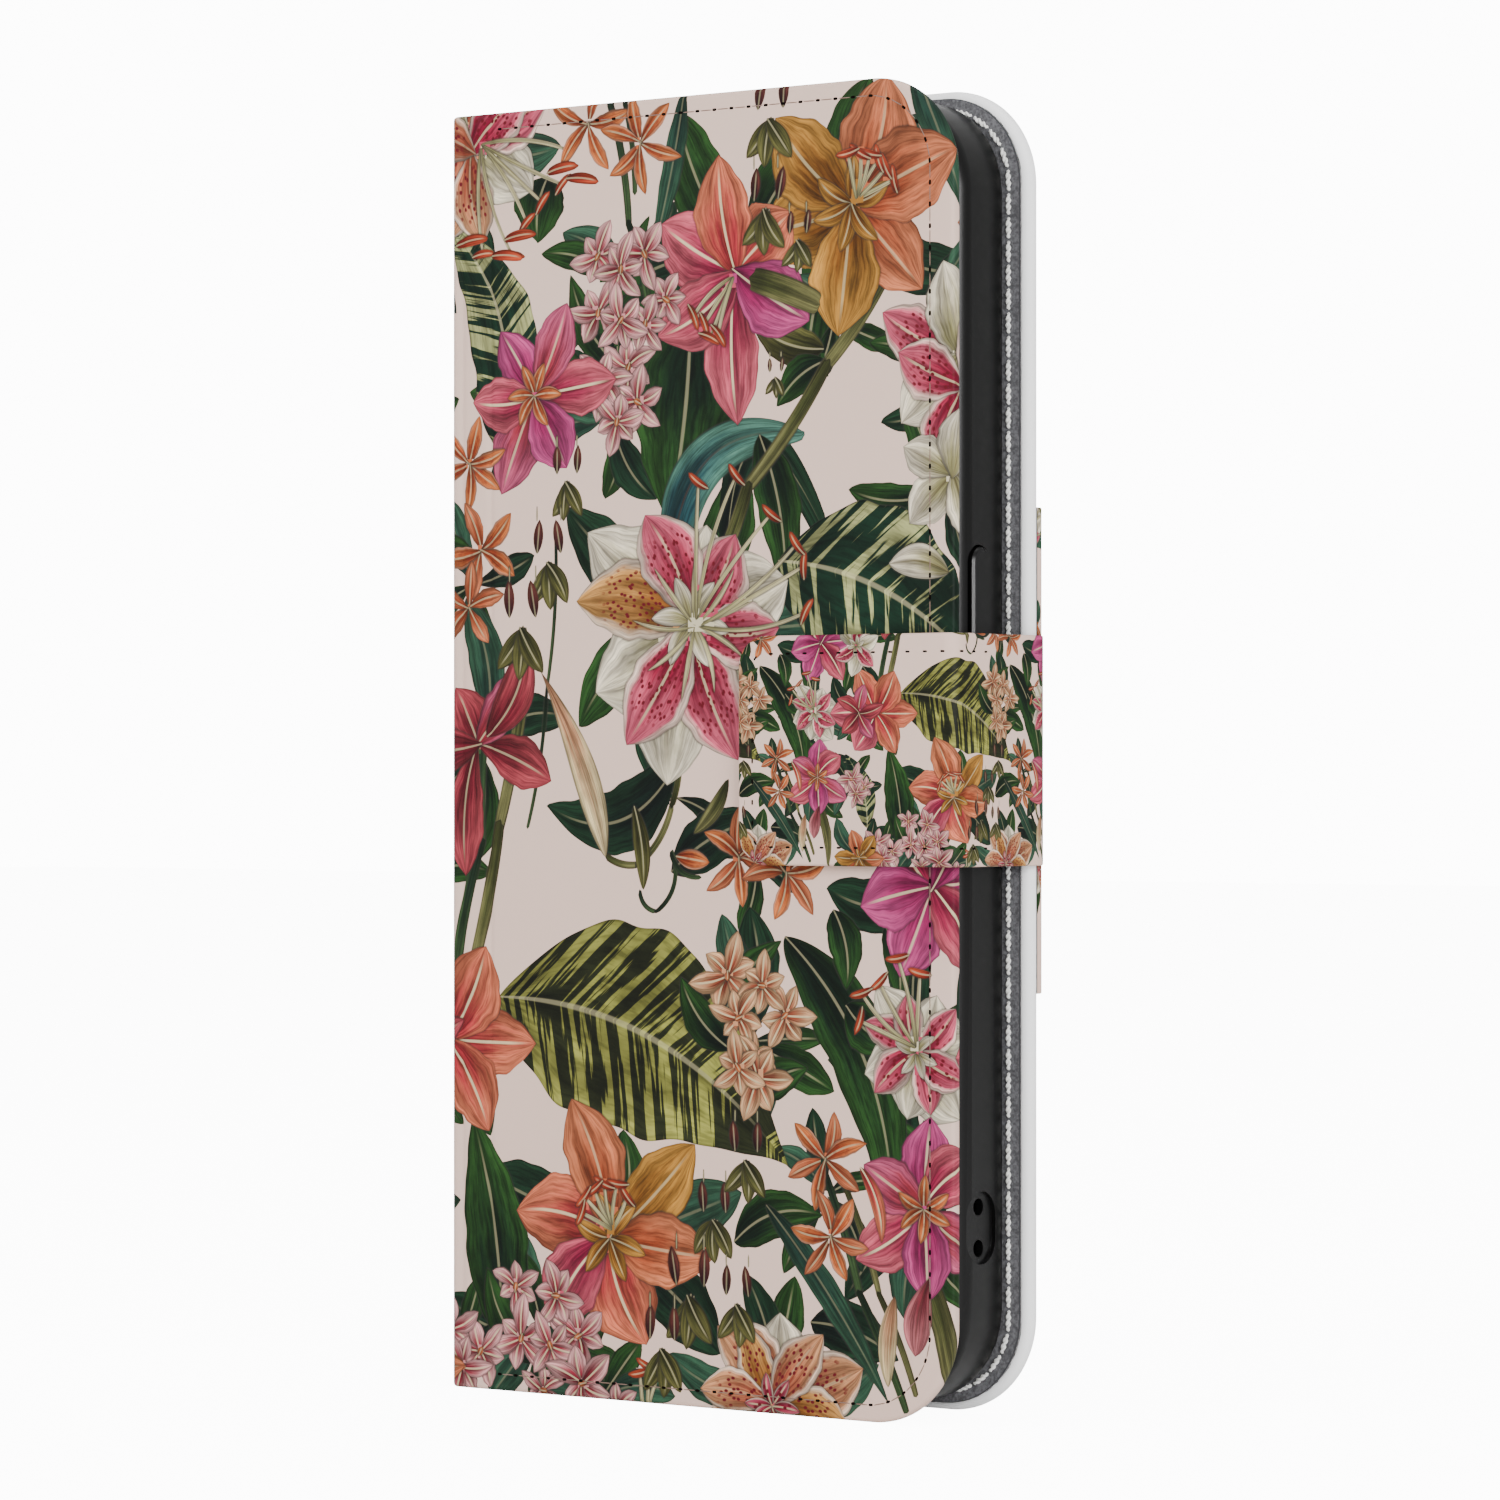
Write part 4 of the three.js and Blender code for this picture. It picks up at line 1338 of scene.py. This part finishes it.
        real_p, real_z, flat_p, flat_z, depth, bare = (
            np.concatenate(v) for v in (real_p, real_z, flat_p, flat_z, depth, bare))
        x, y = self.bend.place(real_p, depth * self.inward)
        quads = np.concatenate(faces)
        quads = self._outward(np.stack([x, y, real_z], 1), quads)
        mesh = mesh_of(self.name, np.stack([x, y, real_z], 1), quads)
        loops = quads.ravel()
        uv = np.stack([flat_p[loops], flat_z[loops]], 1)
        uv = (uv - uv.min(0)) / (uv.max(0) - uv.min(0))
        mesh.uv_layers.new(name="OFBake").data.foreach_set("uv", uv.astype(np.float32).ravel())
        # The bare attribute: bare white leather on printed sheets, painted edge shade on suede linings.
        store(mesh, "bare", "FLOAT", "POINT", "value", bare)
        if motif:
            place = np.stack([self.print_turn * flat_p[quads], flat_z[quads]], -1) / self.print_scale
            motif.paint(mesh, place + np.array(self.print_origin))
        made = object_of(mesh, finish)
        return made

    def _outward(self, points: Array, quads: Array) -> Array:
        """Turns the faces round if they look to the inside of the bend.

        Args:
            points: the mesh's points.
            quads: its faces.

        Returns:
            The faces, all looking outward.
        """
        a, b, d = (points[quads[0, i]] for i in (0, 1, 3))
        seen = np.cross(b - a, d - a)
        _, n, _, _ = self.bend.runs()
        inside = np.array([n[0], n[1], 0.0]) * self.inward
        return quads[:, ::-1] if float(seen @ inside) > 0 else quads

    def _pierced(self, p: Array, z: Array, quads: Array) -> tuple[Array, Array, Array]:
        """Leaves out the faces inside the opening and moves the ones at its edge onto its outline.

        Args:
            p, z: the grid.
            quads: its faces.

        Returns:
            The grid and the faces that stay.
        """
        fp, fz = p.ravel().copy(), z.ravel().copy()
        middle, _, _ = self.opening.distance(fp[quads].mean(1), fz[quads].mean(1))
        kept = quads[middle > 0]
        gone = quads[middle <= 0]
        edge = np.intersect1d(kept.ravel(), gone.ravel())
        value, dp, dz = self.opening.distance(fp[edge], fz[edge])
        fp[edge] -= value * dp
        fz[edge] -= value * dz
        return fp.reshape(p.shape), fz.reshape(z.shape), kept

    def _rim(self, start: int, faces: list[Array]) -> list[list[Array]]:
        """Rounds the opening's edge over, ring by ring.

        Args:
            start: index of the first new point.
            faces: the face list, added to.

        Returns:
            Lists of real p, real z, flat p, flat z, depth and edge share (bare leather on printed sheets,
            painted shade on linings), one array for each ring.
        """
        p, z, out_p, out_z = self.opening.outline(9)
        count = len(p)
        profile = np.concatenate([[[0.0, 0.0, 0.0]], self.edge_profile()[:-1]])
        out: list[list[Array]] = [[], [], [], [], [], []]
        ring = np.arange(count)
        for k, (inner, down, travel) in enumerate(profile):
            values = (p - out_p * inner, z - out_z * inner, p - out_p * travel, z - out_z * travel,
                      np.full(count, down), np.full(count, self.edge_bare_and_shade))
            for part, value in zip(out, values):
                part.append(value)
            if k:
                a, b = start + (k - 1) * count + ring, start + k * count + ring
                faces.append(np.stack([a, b, np.roll(b, -1), np.roll(a, -1)], -1))
        return out


def mesh_of(name: str, points: Array, quads: Array, smooth: bool = True) -> bpy.types.Mesh:
    """Makes a mesh of four-sided faces.

    Args:
        name: the mesh's name.
        points: points in millimetres.
        quads: faces, four indices each.
        smooth: whether its faces are shaded smooth.

    Returns:
        The mesh, in metres.
    """
    mesh = bpy.data.meshes.new(name)
    mesh.vertices.add(len(points))
    mesh.vertices.foreach_set("co", (points * MM).astype(np.float32).ravel())
    mesh.loops.add(quads.size)
    mesh.loops.foreach_set("vertex_index", quads.astype(np.int32).ravel())
    mesh.polygons.add(len(quads))
    mesh.polygons.foreach_set("loop_start", np.arange(0, quads.size, 4, dtype=np.int32))
    mesh.polygons.foreach_set("use_smooth", np.full(len(quads), smooth))
    mesh.update(calc_edges=True)
    return mesh


def object_of(mesh: bpy.types.Mesh, finish: Finish) -> bpy.types.Object:
    """Makes a mesh into a piece of the object.

    Args:
        mesh: the mesh.
        finish: its finish.

    Returns:
        The object, at the origin.
    """
    made = bpy.data.objects.new(mesh.name, mesh)
    bpy.context.collection.objects.link(made)
    mesh.materials.append(finish.material())
    return made


# ---------------------------------------------------------------------------------------------------
# Sewing
# ---------------------------------------------------------------------------------------------------


@dataclass(frozen=True)
class Seam:
    """A line of stitches on a sheet, set in from its free edges and round its two corners."""

    sheet: Sheet
    from_side: float
    from_end: float
    pitch: float
    begin: float = 3.0

    def places(self) -> tuple[Array, Array, Array, Array]:
        """Middles and directions of the stitches, in distance along the path and height.

        Returns:
            p, z, and the direction's p and z.
        """
        low, high = self.sheet.low + self.from_side, self.sheet.high - self.from_side
        end = self.sheet.bend.stops[2] - self.from_end
        radius = max(self.sheet.corner - (self.from_side + self.from_end) / 2, 1.0)
        first = end - radius - self.begin
        arc = math.pi * radius / 2
        side = high - low - 2 * radius
        total = 2 * first + 2 * arc + side
        s = np.linspace(0, total, round(total / self.pitch) + 1)
        s = (s[:-1] + s[1:]) / 2
        t1 = np.clip((s - first) / radius, 0, math.pi / 2)
        t2 = np.clip((s - first - arc - side) / radius, 0, math.pi / 2)
        turn = t1 + t2
        p = self.begin + np.minimum(s, first) + radius * np.sin(t1)
        z = low + radius * (1 - np.cos(t1)) + np.clip(s - first - arc, 0, side)
        p = p + radius * (np.cos(t2) - 1) - np.maximum(s - first - 2 * arc - side, 0)
        z = z + radius * np.sin(t2)
        return p, z, np.cos(turn), np.sin(turn)

    def strands(self, name: str, length: float, radius: float, finish: Finish, lift: float, depth: float,
                twist: float = 0.0, flat: float = 1.0) -> bpy.types.Object:
        """Lays a short rounded strand, or a twisted pair, at each place.

        A strand's middle at share t is at (t - 1/2) L along, and a pair turns about it as
        h (cos a, sin a) with a = 2 pi n t and h falling to 0 at both ends.

        Args:
            name: the piece's name.
            length: of a strand.
            radius: of a strand.
            finish: of the thread; the needle-hole marks take a painted shade finish.
            lift: how far its middle stands off the surface.
            depth: the surface's depth in the sheet's path.
            twist: turns along a strand; 0 for a single strand.
            flat: height of its section as a share of its width.

        Returns:
            The object.
        """
        p, z, dp, dz = self.places()
        steps, sides = (17, 6) if twist else (9, 8)
        t = np.linspace(0, 1, steps)
        a = np.linspace(0, 2 * math.pi, sides, endpoint=False)
        swell = np.sqrt(np.clip(1 - (2 * t - 1) ** 4, 0, 1))
        points, quads, start = [], [], 0
        grid = np.arange(steps * sides).reshape(steps, sides)
        near, far = grid[:-1], grid[1:]
        tube = np.stack([near, np.roll(near, -1, 1), np.roll(far, -1, 1), far], -1).reshape(-1, 4)
        for phase in ((0.0, math.pi) if twist else (0.0,)):
            orbit = radius * 0.8 * swell if twist else 0 * swell
            around = 2 * math.pi * twist * t + phase
            along = ((t - 0.5) * length)[:, None] + 0 * a
            across = (orbit * np.cos(around))[:, None] + radius * swell[:, None] * np.cos(a)
            up = (lift * swell + orbit * np.sin(around))[:, None] + flat * radius * swell[:, None] * np.sin(a)
            along, across, up = along.ravel(), across.ravel(), up.ravel()
            sp = p[:, None] + dp[:, None] * along - dz[:, None] * across
            sz = z[:, None] + dz[:, None] * along + dp[:, None] * across
            x, y = self.sheet.bend.place(sp, depth - up * self.sheet.inward)
            points.append(np.stack([x, y, sz], -1).reshape(-1, 3))
            shift = start + np.arange(len(p))[:, None, None] * (steps * sides)
            quads.append((tube[None] + shift).reshape(-1, 4))
            start += len(p) * steps * sides
        made = object_of(mesh_of(name, np.concatenate(points), np.concatenate(quads)), finish)
        made.data.validate()
        return made


# ---------------------------------------------------------------------------------------------------
# Sub-assemblies
# ---------------------------------------------------------------------------------------------------


@dataclass(frozen=True)
class Frame:
    """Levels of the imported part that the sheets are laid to."""

    spine_face: float
    open_edge: float
    front_face: float
    back_face: float
    low: float
    high: float
    middle_y: float

    @staticmethod
    def read() -> "Frame":
        """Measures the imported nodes.

        Returns:
            The levels, in millimetres.
        """
        spine_low, _ = (v / MM for v in map(np.array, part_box("spine_skin")))
        front_low, front_high = (v / MM for v in map(np.array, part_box("front_skin")))
        _, back_high = (v / MM for v in map(np.array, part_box("back_skin")))
        return Frame(float(spine_low[0]), float(front_high[0]), float(front_low[1]), float(back_high[1]),
                     float(front_low[2]), float(front_high[2]), float(front_low[1] + back_high[1]) / 2)


def bend_between(made: bpy.types.Object, a: Body, b: Body, start: tuple[float, float],
                 end: tuple[float, float]) -> bpy.types.Object:
    """Bakes a piece's placement into its points; the piece is not made to bend.

    Args:
        made: the piece.
        a, b: the bodies; not used.
        start, end: plan points, in millimetres; not used.

    Returns:
        The piece.
    """
    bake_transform(made)
    return made


@dataclass
class Covers:
    """The two covers and the spine: printed outside, suede inside, sewn round the free edges.

    The camera's window is given by its two sides, its bottom, its top and its corners' radius.
    """

    frame: Frame
    motif: Print
    pieces: list[bpy.types.Object] = field(default_factory=list)
    corner: float = 12.5
    bend_radius: float = 1.0
    window: tuple[float, ...] = (-1.45, 32.55, 119.0, 159.0, 6.0)
    lining_window: tuple[float, ...] = (-1.75, 32.85, 118.7, 159.3, 6.3)
    lining_spine: float = -39.25
    lining_front: float = -7.4
    lining_back: float = 7.1
    lining_bend: float = 0.8
    lining_inset: float = 1.0
    fold_front: Fold = ((-38.0, -7.7), (-39.5, -6.2))
    fold_back: Fold = ((-39.25, 5.95), (-37.68, 7.14))

    def front_sheet(self) -> Sheet:
        """Plans the front's leather, from the middle of the spine to the free edge.

        Returns:
            The sheet.
        """
        f = self.frame
        bend = Bend((f.spine_face, f.middle_y), (f.spine_face, f.front_face), (f.open_edge, f.front_face),
                    self.bend_radius)
        return Sheet("front_leather", bend, f.low, f.high, self.corner, fold=0.55, thickness=1.55,
                     print_origin=(-bend.stops[1] + 0.8, 0.0), creases=(1.0, 5.8))

    def back_sheet(self) -> Sheet:
        """Plans the back's leather, from the middle of the spine to the free edge, with the camera window.

        Returns:
            The sheet.
        """
        f = self.frame
        bend = Bend((f.spine_face, f.middle_y), (f.spine_face, f.back_face), (f.open_edge, f.back_face),
                    self.bend_radius)
        origin = bend.stops[1] - self.bend_radius - f.spine_face
        return Sheet("back_leather", bend, f.low, f.high, self.corner, fold=1.0, thickness=2.4,
                     opening=self._opening(self.window, origin), cell=0.7, edge_bare_and_shade=1.0, thin_start=0.62,
                     print_origin=(-bend.stops[0], 0.0), print_turn=-1.0)

    @staticmethod
    def _opening(sizes: tuple[float, ...], shift: float) -> Opening:
        """Places a window on a sheet.

        Args:
            sizes: its sides in x, its bottom, its top and its corners' radius.
            shift: what x is moved by to be a distance along the sheet.

        Returns:
            The opening.
        """
        left, right, bottom, top, corner = sizes
        return Opening(left + shift, right + shift, bottom, top, corner)

    def build(self) -> None:
        """Builds both covers."""
        front, back = self.front_sheet(), self.back_sheet()
        leather = front.build(PRINTED, Slot.PRINT, self.motif)
        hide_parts("front_skin", "spine_skin")
        self.pieces.append(bend_between(leather, Body.FRONT, Body.SPINE, *self.fold_front))
        leather = back.build(PRINTED, Slot.PRINT, self.motif)
        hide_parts("back_skin")
        self.pieces.append(bend_between(leather, Body.SPINE, Body.BACK, *self.fold_back))
        lining = self._lining(front, "front_lining", self.lining_front)
        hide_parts("front_lining", "spine_lining")
        self.pieces.append(bend_between(lining, Body.FRONT, Body.SPINE, *self.fold_front))
        lining = self._lining(back, "back_lining", self.lining_back)
        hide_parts("back_lining")
        self.pieces.append(bend_between(lining, Body.SPINE, Body.BACK, *self.fold_back))
        self._sewing(front, back)

    def _lining(self, sheet: Sheet, node: str, level: float) -> bpy.types.Object:
        """Lines the inside of a cover.

        Args:
            sheet: the cover's leather.
            node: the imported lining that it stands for.
            level: y of its visible face.

        Returns:
            The lining.
        """
        f, inset = self.frame, self.lining_inset
        bend = Bend((self.lining_spine, f.middle_y), (self.lining_spine, level), (f.open_edge - inset, level),
                    self.lining_bend)
        window = None
        if sheet.opening:
            window = self._opening(self.lining_window, bend.stops[1] - self.lining_spine - self.lining_bend)
        # Its rounded edge and window rim take the suede's painted edge shade.
        lining = Sheet(node.replace("_", "_suede_"), bend, f.low + inset, f.high - inset, self.corner - inset,
                       fold=0.15, thickness=0.4, lip=0.5, inward=-1.0, cell=1.2, opening=window,
                       edge_bare_and_shade=1.0)
        return lining.build(SUEDE, Slot.LINING)

    def _inside(self, sheet: Sheet, level: float) -> Sheet:
        """Plans the inner face of a cover, to be sewn.

        Args:
            sheet: the cover's leather.
            level: y of the inner face.

        Returns:
            The sheet.
        """
        bend = Bend((self.lining_spine, sheet.bend.start[1]), (self.lining_spine, level),
                    (self.frame.open_edge, level), self.lining_bend)
        return replace(sheet, inward=-1.0, bend=bend)

    def _sewing(self, front: Sheet, back: Sheet) -> None:
        """Sews both covers.

        Args:
            front, back: their leather.
        """
        line = Seam(front, from_side=2.2, from_end=3.6, pitch=2.7, begin=front.bend.stops[1] + 6.0)
        # Painted shade at each needle hole between the brown stitches.
        hole_shade = line.strands("front_needle_hole_shade", 0.7, 0.17, NEEDLE_HOLE_SHADE, 0.0, 0.0, flat=0.3)
        line = replace(line, begin=line.begin + line.pitch / 2)
        thread = line.strands("front_thread", 1.9, 0.07, BROWN_THREAD, 0.0, 0.0, flat=0.6)
        inner = self._inside(back, self.lining_back)
        line = Seam(inner, from_side=2.65, from_end=2.65, pitch=3.0, begin=inner.bend.stops[1] + 4.0)
        twisted = line.strands("back_thread", 2.75, 0.21, WHITE_THREAD, 0.1, 0.0, twist=1.6)
        inner = self._inside(front, self.lining_front)
        start = inner.bend.stops[1]
        line = Seam(inner, from_side=2.2, from_end=3.6, pitch=2.7, begin=start + 4.0)
        through = line.strands("front_inner_thread", 2.4, 0.18, GREY_THREAD, 0.05, 0.0, twist=1.6)
        pocket = replace(inner, low=5.0, high=163.0, corner=8.0,
                         bend=replace(inner.bend, end=(self.frame.open_edge - 5.0, self.lining_front)))
        line = Seam(pocket, from_side=1.3, from_end=1.3, pitch=2.4, begin=start + 7.0)
        cash = line.strands("cash_pocket_thread", 1.9, 0.14, GREY_THREAD, 0.0, 0.5, flat=0.7)
        stack = replace(pocket, low=37.0, high=135.0, corner=3.0)
        line = Seam(stack, from_side=1.3, from_end=1.3, pitch=2.4, begin=start + 32.0)
        cards = line.strands("card_pocket_thread", 1.9, 0.14, GREY_THREAD, 0.0, 2.0, flat=0.7)
        for made in (hole_shade, thread, through, cash, cards):
            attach(made, Body.FRONT.value)
        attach(twisted, Body.BACK.value)
        self.pieces += [hole_shade, thread, twisted, through, cash, cards]


@dataclass
class Strap:
    """The closing strap: a sheet from the back cover round the side, and one from the side to the tab."""

    frame: Frame
    motif: Print
    pieces: list[bpy.types.Object] = field(default_factory=list)
    side: float = 40.95
    lining_side: float = 39.85
    middle: float = 0.18
    low: float = 69.5
    high: float = 98.5
    lining_low: float = 70.0
    lining_high: float = 98.0
    patch_low: float = 53.25
    patch_high: float = 114.75
    corner: float = 4.0
    print_scale: float = 0.42
    print_origin: tuple[float, float] = (150.0, -165.0)
    fold_tab: Fold = ((39.85, -9.1), (38.6, -10.35))
    fold_hinge: Fold = ((38.4, 10.7), (40.8, 8.3))

    def build(self) -> None:
        """Builds the strap."""
        printed = {"print_scale": self.print_scale, "print_origin": self.print_origin}
        bend = Bend((self.side, self.middle), (self.side, -10.8), (7.55, -10.8), 1.8)
        tab = Sheet("strap_tab_leather", bend, self.low, self.high, self.corner, fold=0.4, thickness=1.0,
                    cell=0.3, print_turn=-1.0, **printed)
        bend = Bend((self.side, self.middle), (self.side, 10.6), (38.2, 10.6), 2.55)
        back = Sheet("strap_side_leather", bend, self.low, self.high, corner=0.3, fold=0.22, thickness=0.5,
                     cell=0.35, **printed)
        bend = Bend((39.6, 9.5), (39.6, 10.8), (11.9, 10.8), 0.4)
        patch = Sheet("strap_patch_leather", bend, self.patch_low, self.patch_high, self.corner, fold=0.22,
                      thickness=0.6, cell=0.35, **printed)
        made = tab.build(PRINTED, Slot.PRINT, self.motif)
        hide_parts("strap_tab_skin", "strap_side_skin", "strap_side_lining")
        self._folding(made)
        self._hinged(back.build(PRINTED, Slot.PRINT, self.motif))
        made = patch.build(PRINTED, Slot.PRINT, self.motif)
        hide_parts("strap_base_patch")
        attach(made, Body.BACK.value)
        self.pieces.append(made)
        bend = Bend((self.lining_side, self.middle), (self.lining_side, -9.4), (8.1, -9.4), 0.9)
        lining = Sheet("strap_tab_suede", bend, self.lining_low, self.lining_high, corner=3.5, fold=0.12,
                       thickness=0.4, lip=0.4, inward=-1.0, cell=0.9)
        made = lining.build(SUEDE, Slot.LINING)
        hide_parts("strap_tab_lining")
        self._folding(made)
        bend = Bend((self.lining_side, self.middle), (self.lining_side, 9.2), (38.9, 9.2), 0.5)
        lining = Sheet("strap_side_suede", bend, self.lining_low, self.lining_high, corner=0.3, fold=0.12,
                       thickness=0.4, lip=0.1, inward=-1.0, cell=0.9)
        self._hinged(lining.build(SUEDE, Slot.LINING))
        line = Seam(tab, from_side=2.3, from_end=2.3, pitch=2.6, begin=tab.bend.stops[1] - 9.0)
        # Painted shade at each needle hole round the tab.
        self._folding(line.strands("strap_needle_hole_shade", 0.7, 0.13, NEEDLE_HOLE_SHADE, 0.0, 0.0, flat=0.3))
        line = Seam(patch, from_side=2.3, from_end=2.3, pitch=2.6, begin=patch.bend.stops[1] + 1.5)
        # Painted shade at each needle hole round the patch.
        hole_shade = line.strands("patch_needle_hole_shade", 0.7, 0.13, NEEDLE_HOLE_SHADE, 0.0, 0.0, flat=0.3)
        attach(hole_shade, Body.BACK.value)
        self.pieces.append(hole_shade)

    def _folding(self, made: bpy.types.Object) -> None:
        """Keeps a piece, with its placement baked into its points.

        Args:
            made: the piece.
        """
        self.pieces.append(bend_between(made, Body.SIDE, Body.TAB, *self.fold_tab))

    def _hinged(self, made: bpy.types.Object) -> None:
        """Keeps a piece, with its placement baked into its points.

        Args:
            made: the piece.
        """
        self.pieces.append(bend_between(made, Body.BACK, Body.SIDE, *self.fold_hinge))


class Fittings:
    """The soft tray, its keys and the card pockets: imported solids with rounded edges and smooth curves."""

    def build(self) -> list[bpy.types.Object]:
        """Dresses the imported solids.

        Returns:
            The pieces that stand for them.
        """
        made = [softened("phone_tray", TRAY, Body.BACK, 0.3)]
        for node, body in (("power_button", Body.POWER), ("volume_up_button", Body.VOLUME_UP),
                           ("volume_down_button", Body.VOLUME_DOWN)):
            made.append(softened(node, TRAY, body, 0.3))
        for node in ("cash_pocket_panel", "card_pocket_1", "card_pocket_2", "card_pocket_3"):
            made.append(softened(node, SUEDE, Body.FRONT, 0.15))
        for node in ("back_board", "spine_board", "front_board", "strap_tab_core"):
            dress(node, BOARD)
        dress("tray_adhesive_pad", ADHESIVE)
        dress("closure_keeper_plate", STEEL)
        dress("strap_magnet", STEEL)
        return made


def softened(node: str, finish: Finish, body: Body, radius: float) -> bpy.types.Object:
    """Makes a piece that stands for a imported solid, with its edges rounded and its curves shaded smooth.

    Args:
        node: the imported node.
        finish: the finish.
        body: the body that it rides on.
        radius: radius of the rounded edges, in millimetres.

    Returns:
        The piece.
    """
    mesh = bpy.data.objects[node].data.copy()
    mesh.name = f"{node}_soft"
    mesh.materials.clear()
    made = object_of(mesh, finish)
    weld = made.modifiers.new("Weld", "WELD")
    weld.merge_threshold = 0.002 * MM
    bevel = made.modifiers.new("Bevel", "BEVEL")
    bevel.width, bevel.segments = radius * MM, 3
    bevel.limit_method, bevel.angle_limit = "ANGLE", math.radians(35)
    bevel.harden_normals = False
    mesh.polygons.foreach_set("use_smooth", np.full(len(mesh.polygons), True))
    mesh.polygons.foreach_set("material_index", np.zeros(len(mesh.polygons), np.int32))
    normals = made.modifiers.new("Normals", "WEIGHTED_NORMAL")
    normals.keep_sharp = True
    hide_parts(node)
    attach(made, body.value)
    return made


def dress(node: str, finish: Finish) -> None:
    """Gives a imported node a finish.

    Args:
        node: its name.
        finish: the finish.
    """
    found = bpy.data.objects[node]
    found.data.materials.clear()
    found.data.materials.append(finish.material())
    found.data.polygons.foreach_set("material_index", np.zeros(len(found.data.polygons), np.int32))


@dataclass(frozen=True)
class Studio:
    """Camera, pale floor and soft lights."""

    azimuth: float = 36.5
    distance: float = 705.8
    aim: tuple[float, float, float] = (-0.7, 0.5, 80.7)
    lens: float = 130.95
    shift: tuple[float, float] = (0.0078, 0.0178)
    backdrop: float = 12.0
    floor_share: float = 0.93

    def build(self) -> None:
        """Sets the stage."""
        a = math.radians(self.azimuth)
        data = bpy.data.cameras.new("Camera")
        data.lens, data.sensor_width = self.lens, 36.0
        data.shift_x, data.shift_y = self.shift
        data.clip_start, data.clip_end = 0.01, 50.0
        camera = bpy.data.objects.new("Camera", data)
        x, y, z = self.aim
        camera.location = (MM * (x + self.distance * math.sin(a)), MM * (y - self.distance * math.cos(a)),
                           MM * z)
        camera.rotation_euler = (math.pi / 2, 0.0, a)
        bpy.context.collection.objects.link(camera)
        bpy.context.scene.camera = camera
        self._floor()
        self._light("Key", (-0.35, -0.9, 0.55), 0.6, 7.0)
        self._light("Fill", (0.9, -0.5, 0.35), 0.5, 11.0)
        self._light("Top", (0.1, 0.1, 1.0), 0.7, 4.0)
        strip = self._light("Strip", (0.72, -0.53, 0.084), 0.05, 6.0)
        strip.data.shape, strip.data.size_y = "RECTANGLE", 0.5
        strip.visible_diffuse = False
        world = bpy.data.worlds.new("Studio")
        world.use_nodes = True
        graph = Graph(world.node_tree)
        sky = graph.add("ShaderNodeBackground")
        seen = graph.add("ShaderNodeLightPath").outputs["Is Camera Ray"]
        strength = graph.math("ADD", 0.75, graph.math("MULTIPLY", seen, self.backdrop))
        sky.inputs["Color"].default_value = (1.0, 1.0, 1.0, 1.0)
        graph.put(sky.inputs["Strength"], strength)
        world.node_tree.links.new(sky.outputs[0], graph.add("ShaderNodeOutputWorld").inputs[0])
        bpy.context.scene.world = world

    def _floor(self) -> None:
        """Lays a pale floor under the object."""
        far = 3000.0
        corners = np.array([[-far, -far, 0], [far, -far, 0], [far, far, 0], [-far, far, 0]])
        mesh = mesh_of("floor", corners, np.array([[0, 1, 2, 3]]), False)
        floor = bpy.data.objects.new("floor", mesh)
        bpy.context.collection.objects.link(floor)
        material = Finish("Floor", (0.9, 0.9, 0.9), 0.8, 0.1).material()
        graph = material.node_tree
        shader = next(node for node in graph.nodes if node.type == "BSDF_PRINCIPLED")
        seen = graph.nodes.new("ShaderNodeLightPath").outputs["Is Camera Ray"]
        scale = graph.nodes.new("ShaderNodeMath")
        scale.operation = "MULTIPLY"
        scale.inputs[1].default_value = self.backdrop * self.floor_share
        graph.links.new(seen, scale.inputs[0])
        graph.links.new(scale.outputs[0], shader.inputs["Emission Strength"])
        shader.inputs["Emission Color"].default_value = (1.0, 1.0, 1.0, 1.0)
        mesh.materials.append(material)

    def _light(self, name: str, place: tuple[float, float, float], size: float,
               power: float) -> bpy.types.Object:
        """Hangs a soft light that looks at the object.

        Args:
            name: its name.
            place: where it hangs, in metres.
            size: its side.
            power: in watts.

        Returns:
            The light.
        """
        data = bpy.data.lights.new(name, "AREA")
        data.size, data.energy = size, power
        light = bpy.data.objects.new(name, data)
        light.location = place
        light.rotation_mode = "QUATERNION"
        light.rotation_quaternion = (Vector((0, 0, 0.084)) - Vector(place)).to_track_quat("-Z", "Y")
        bpy.context.collection.objects.link(light)
        return light


def main() -> None:
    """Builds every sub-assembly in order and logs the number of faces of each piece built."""
    logging.basicConfig(level=logging.INFO, format="%(message)s")
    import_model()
    frame = Frame.read()
    motif = Print(floral_tile(), 98.0)
    covers = Covers(frame, motif)
    covers.build()
    strap = Strap(frame, motif)
    strap.build()
    fittings = Fittings().build()
    Studio().build()
    for piece in covers.pieces + strap.pieces + fittings:
        LOG.info("%s: %d faces", piece.name, len(piece.data.polygons))


if __name__ == "__main__":
    main()
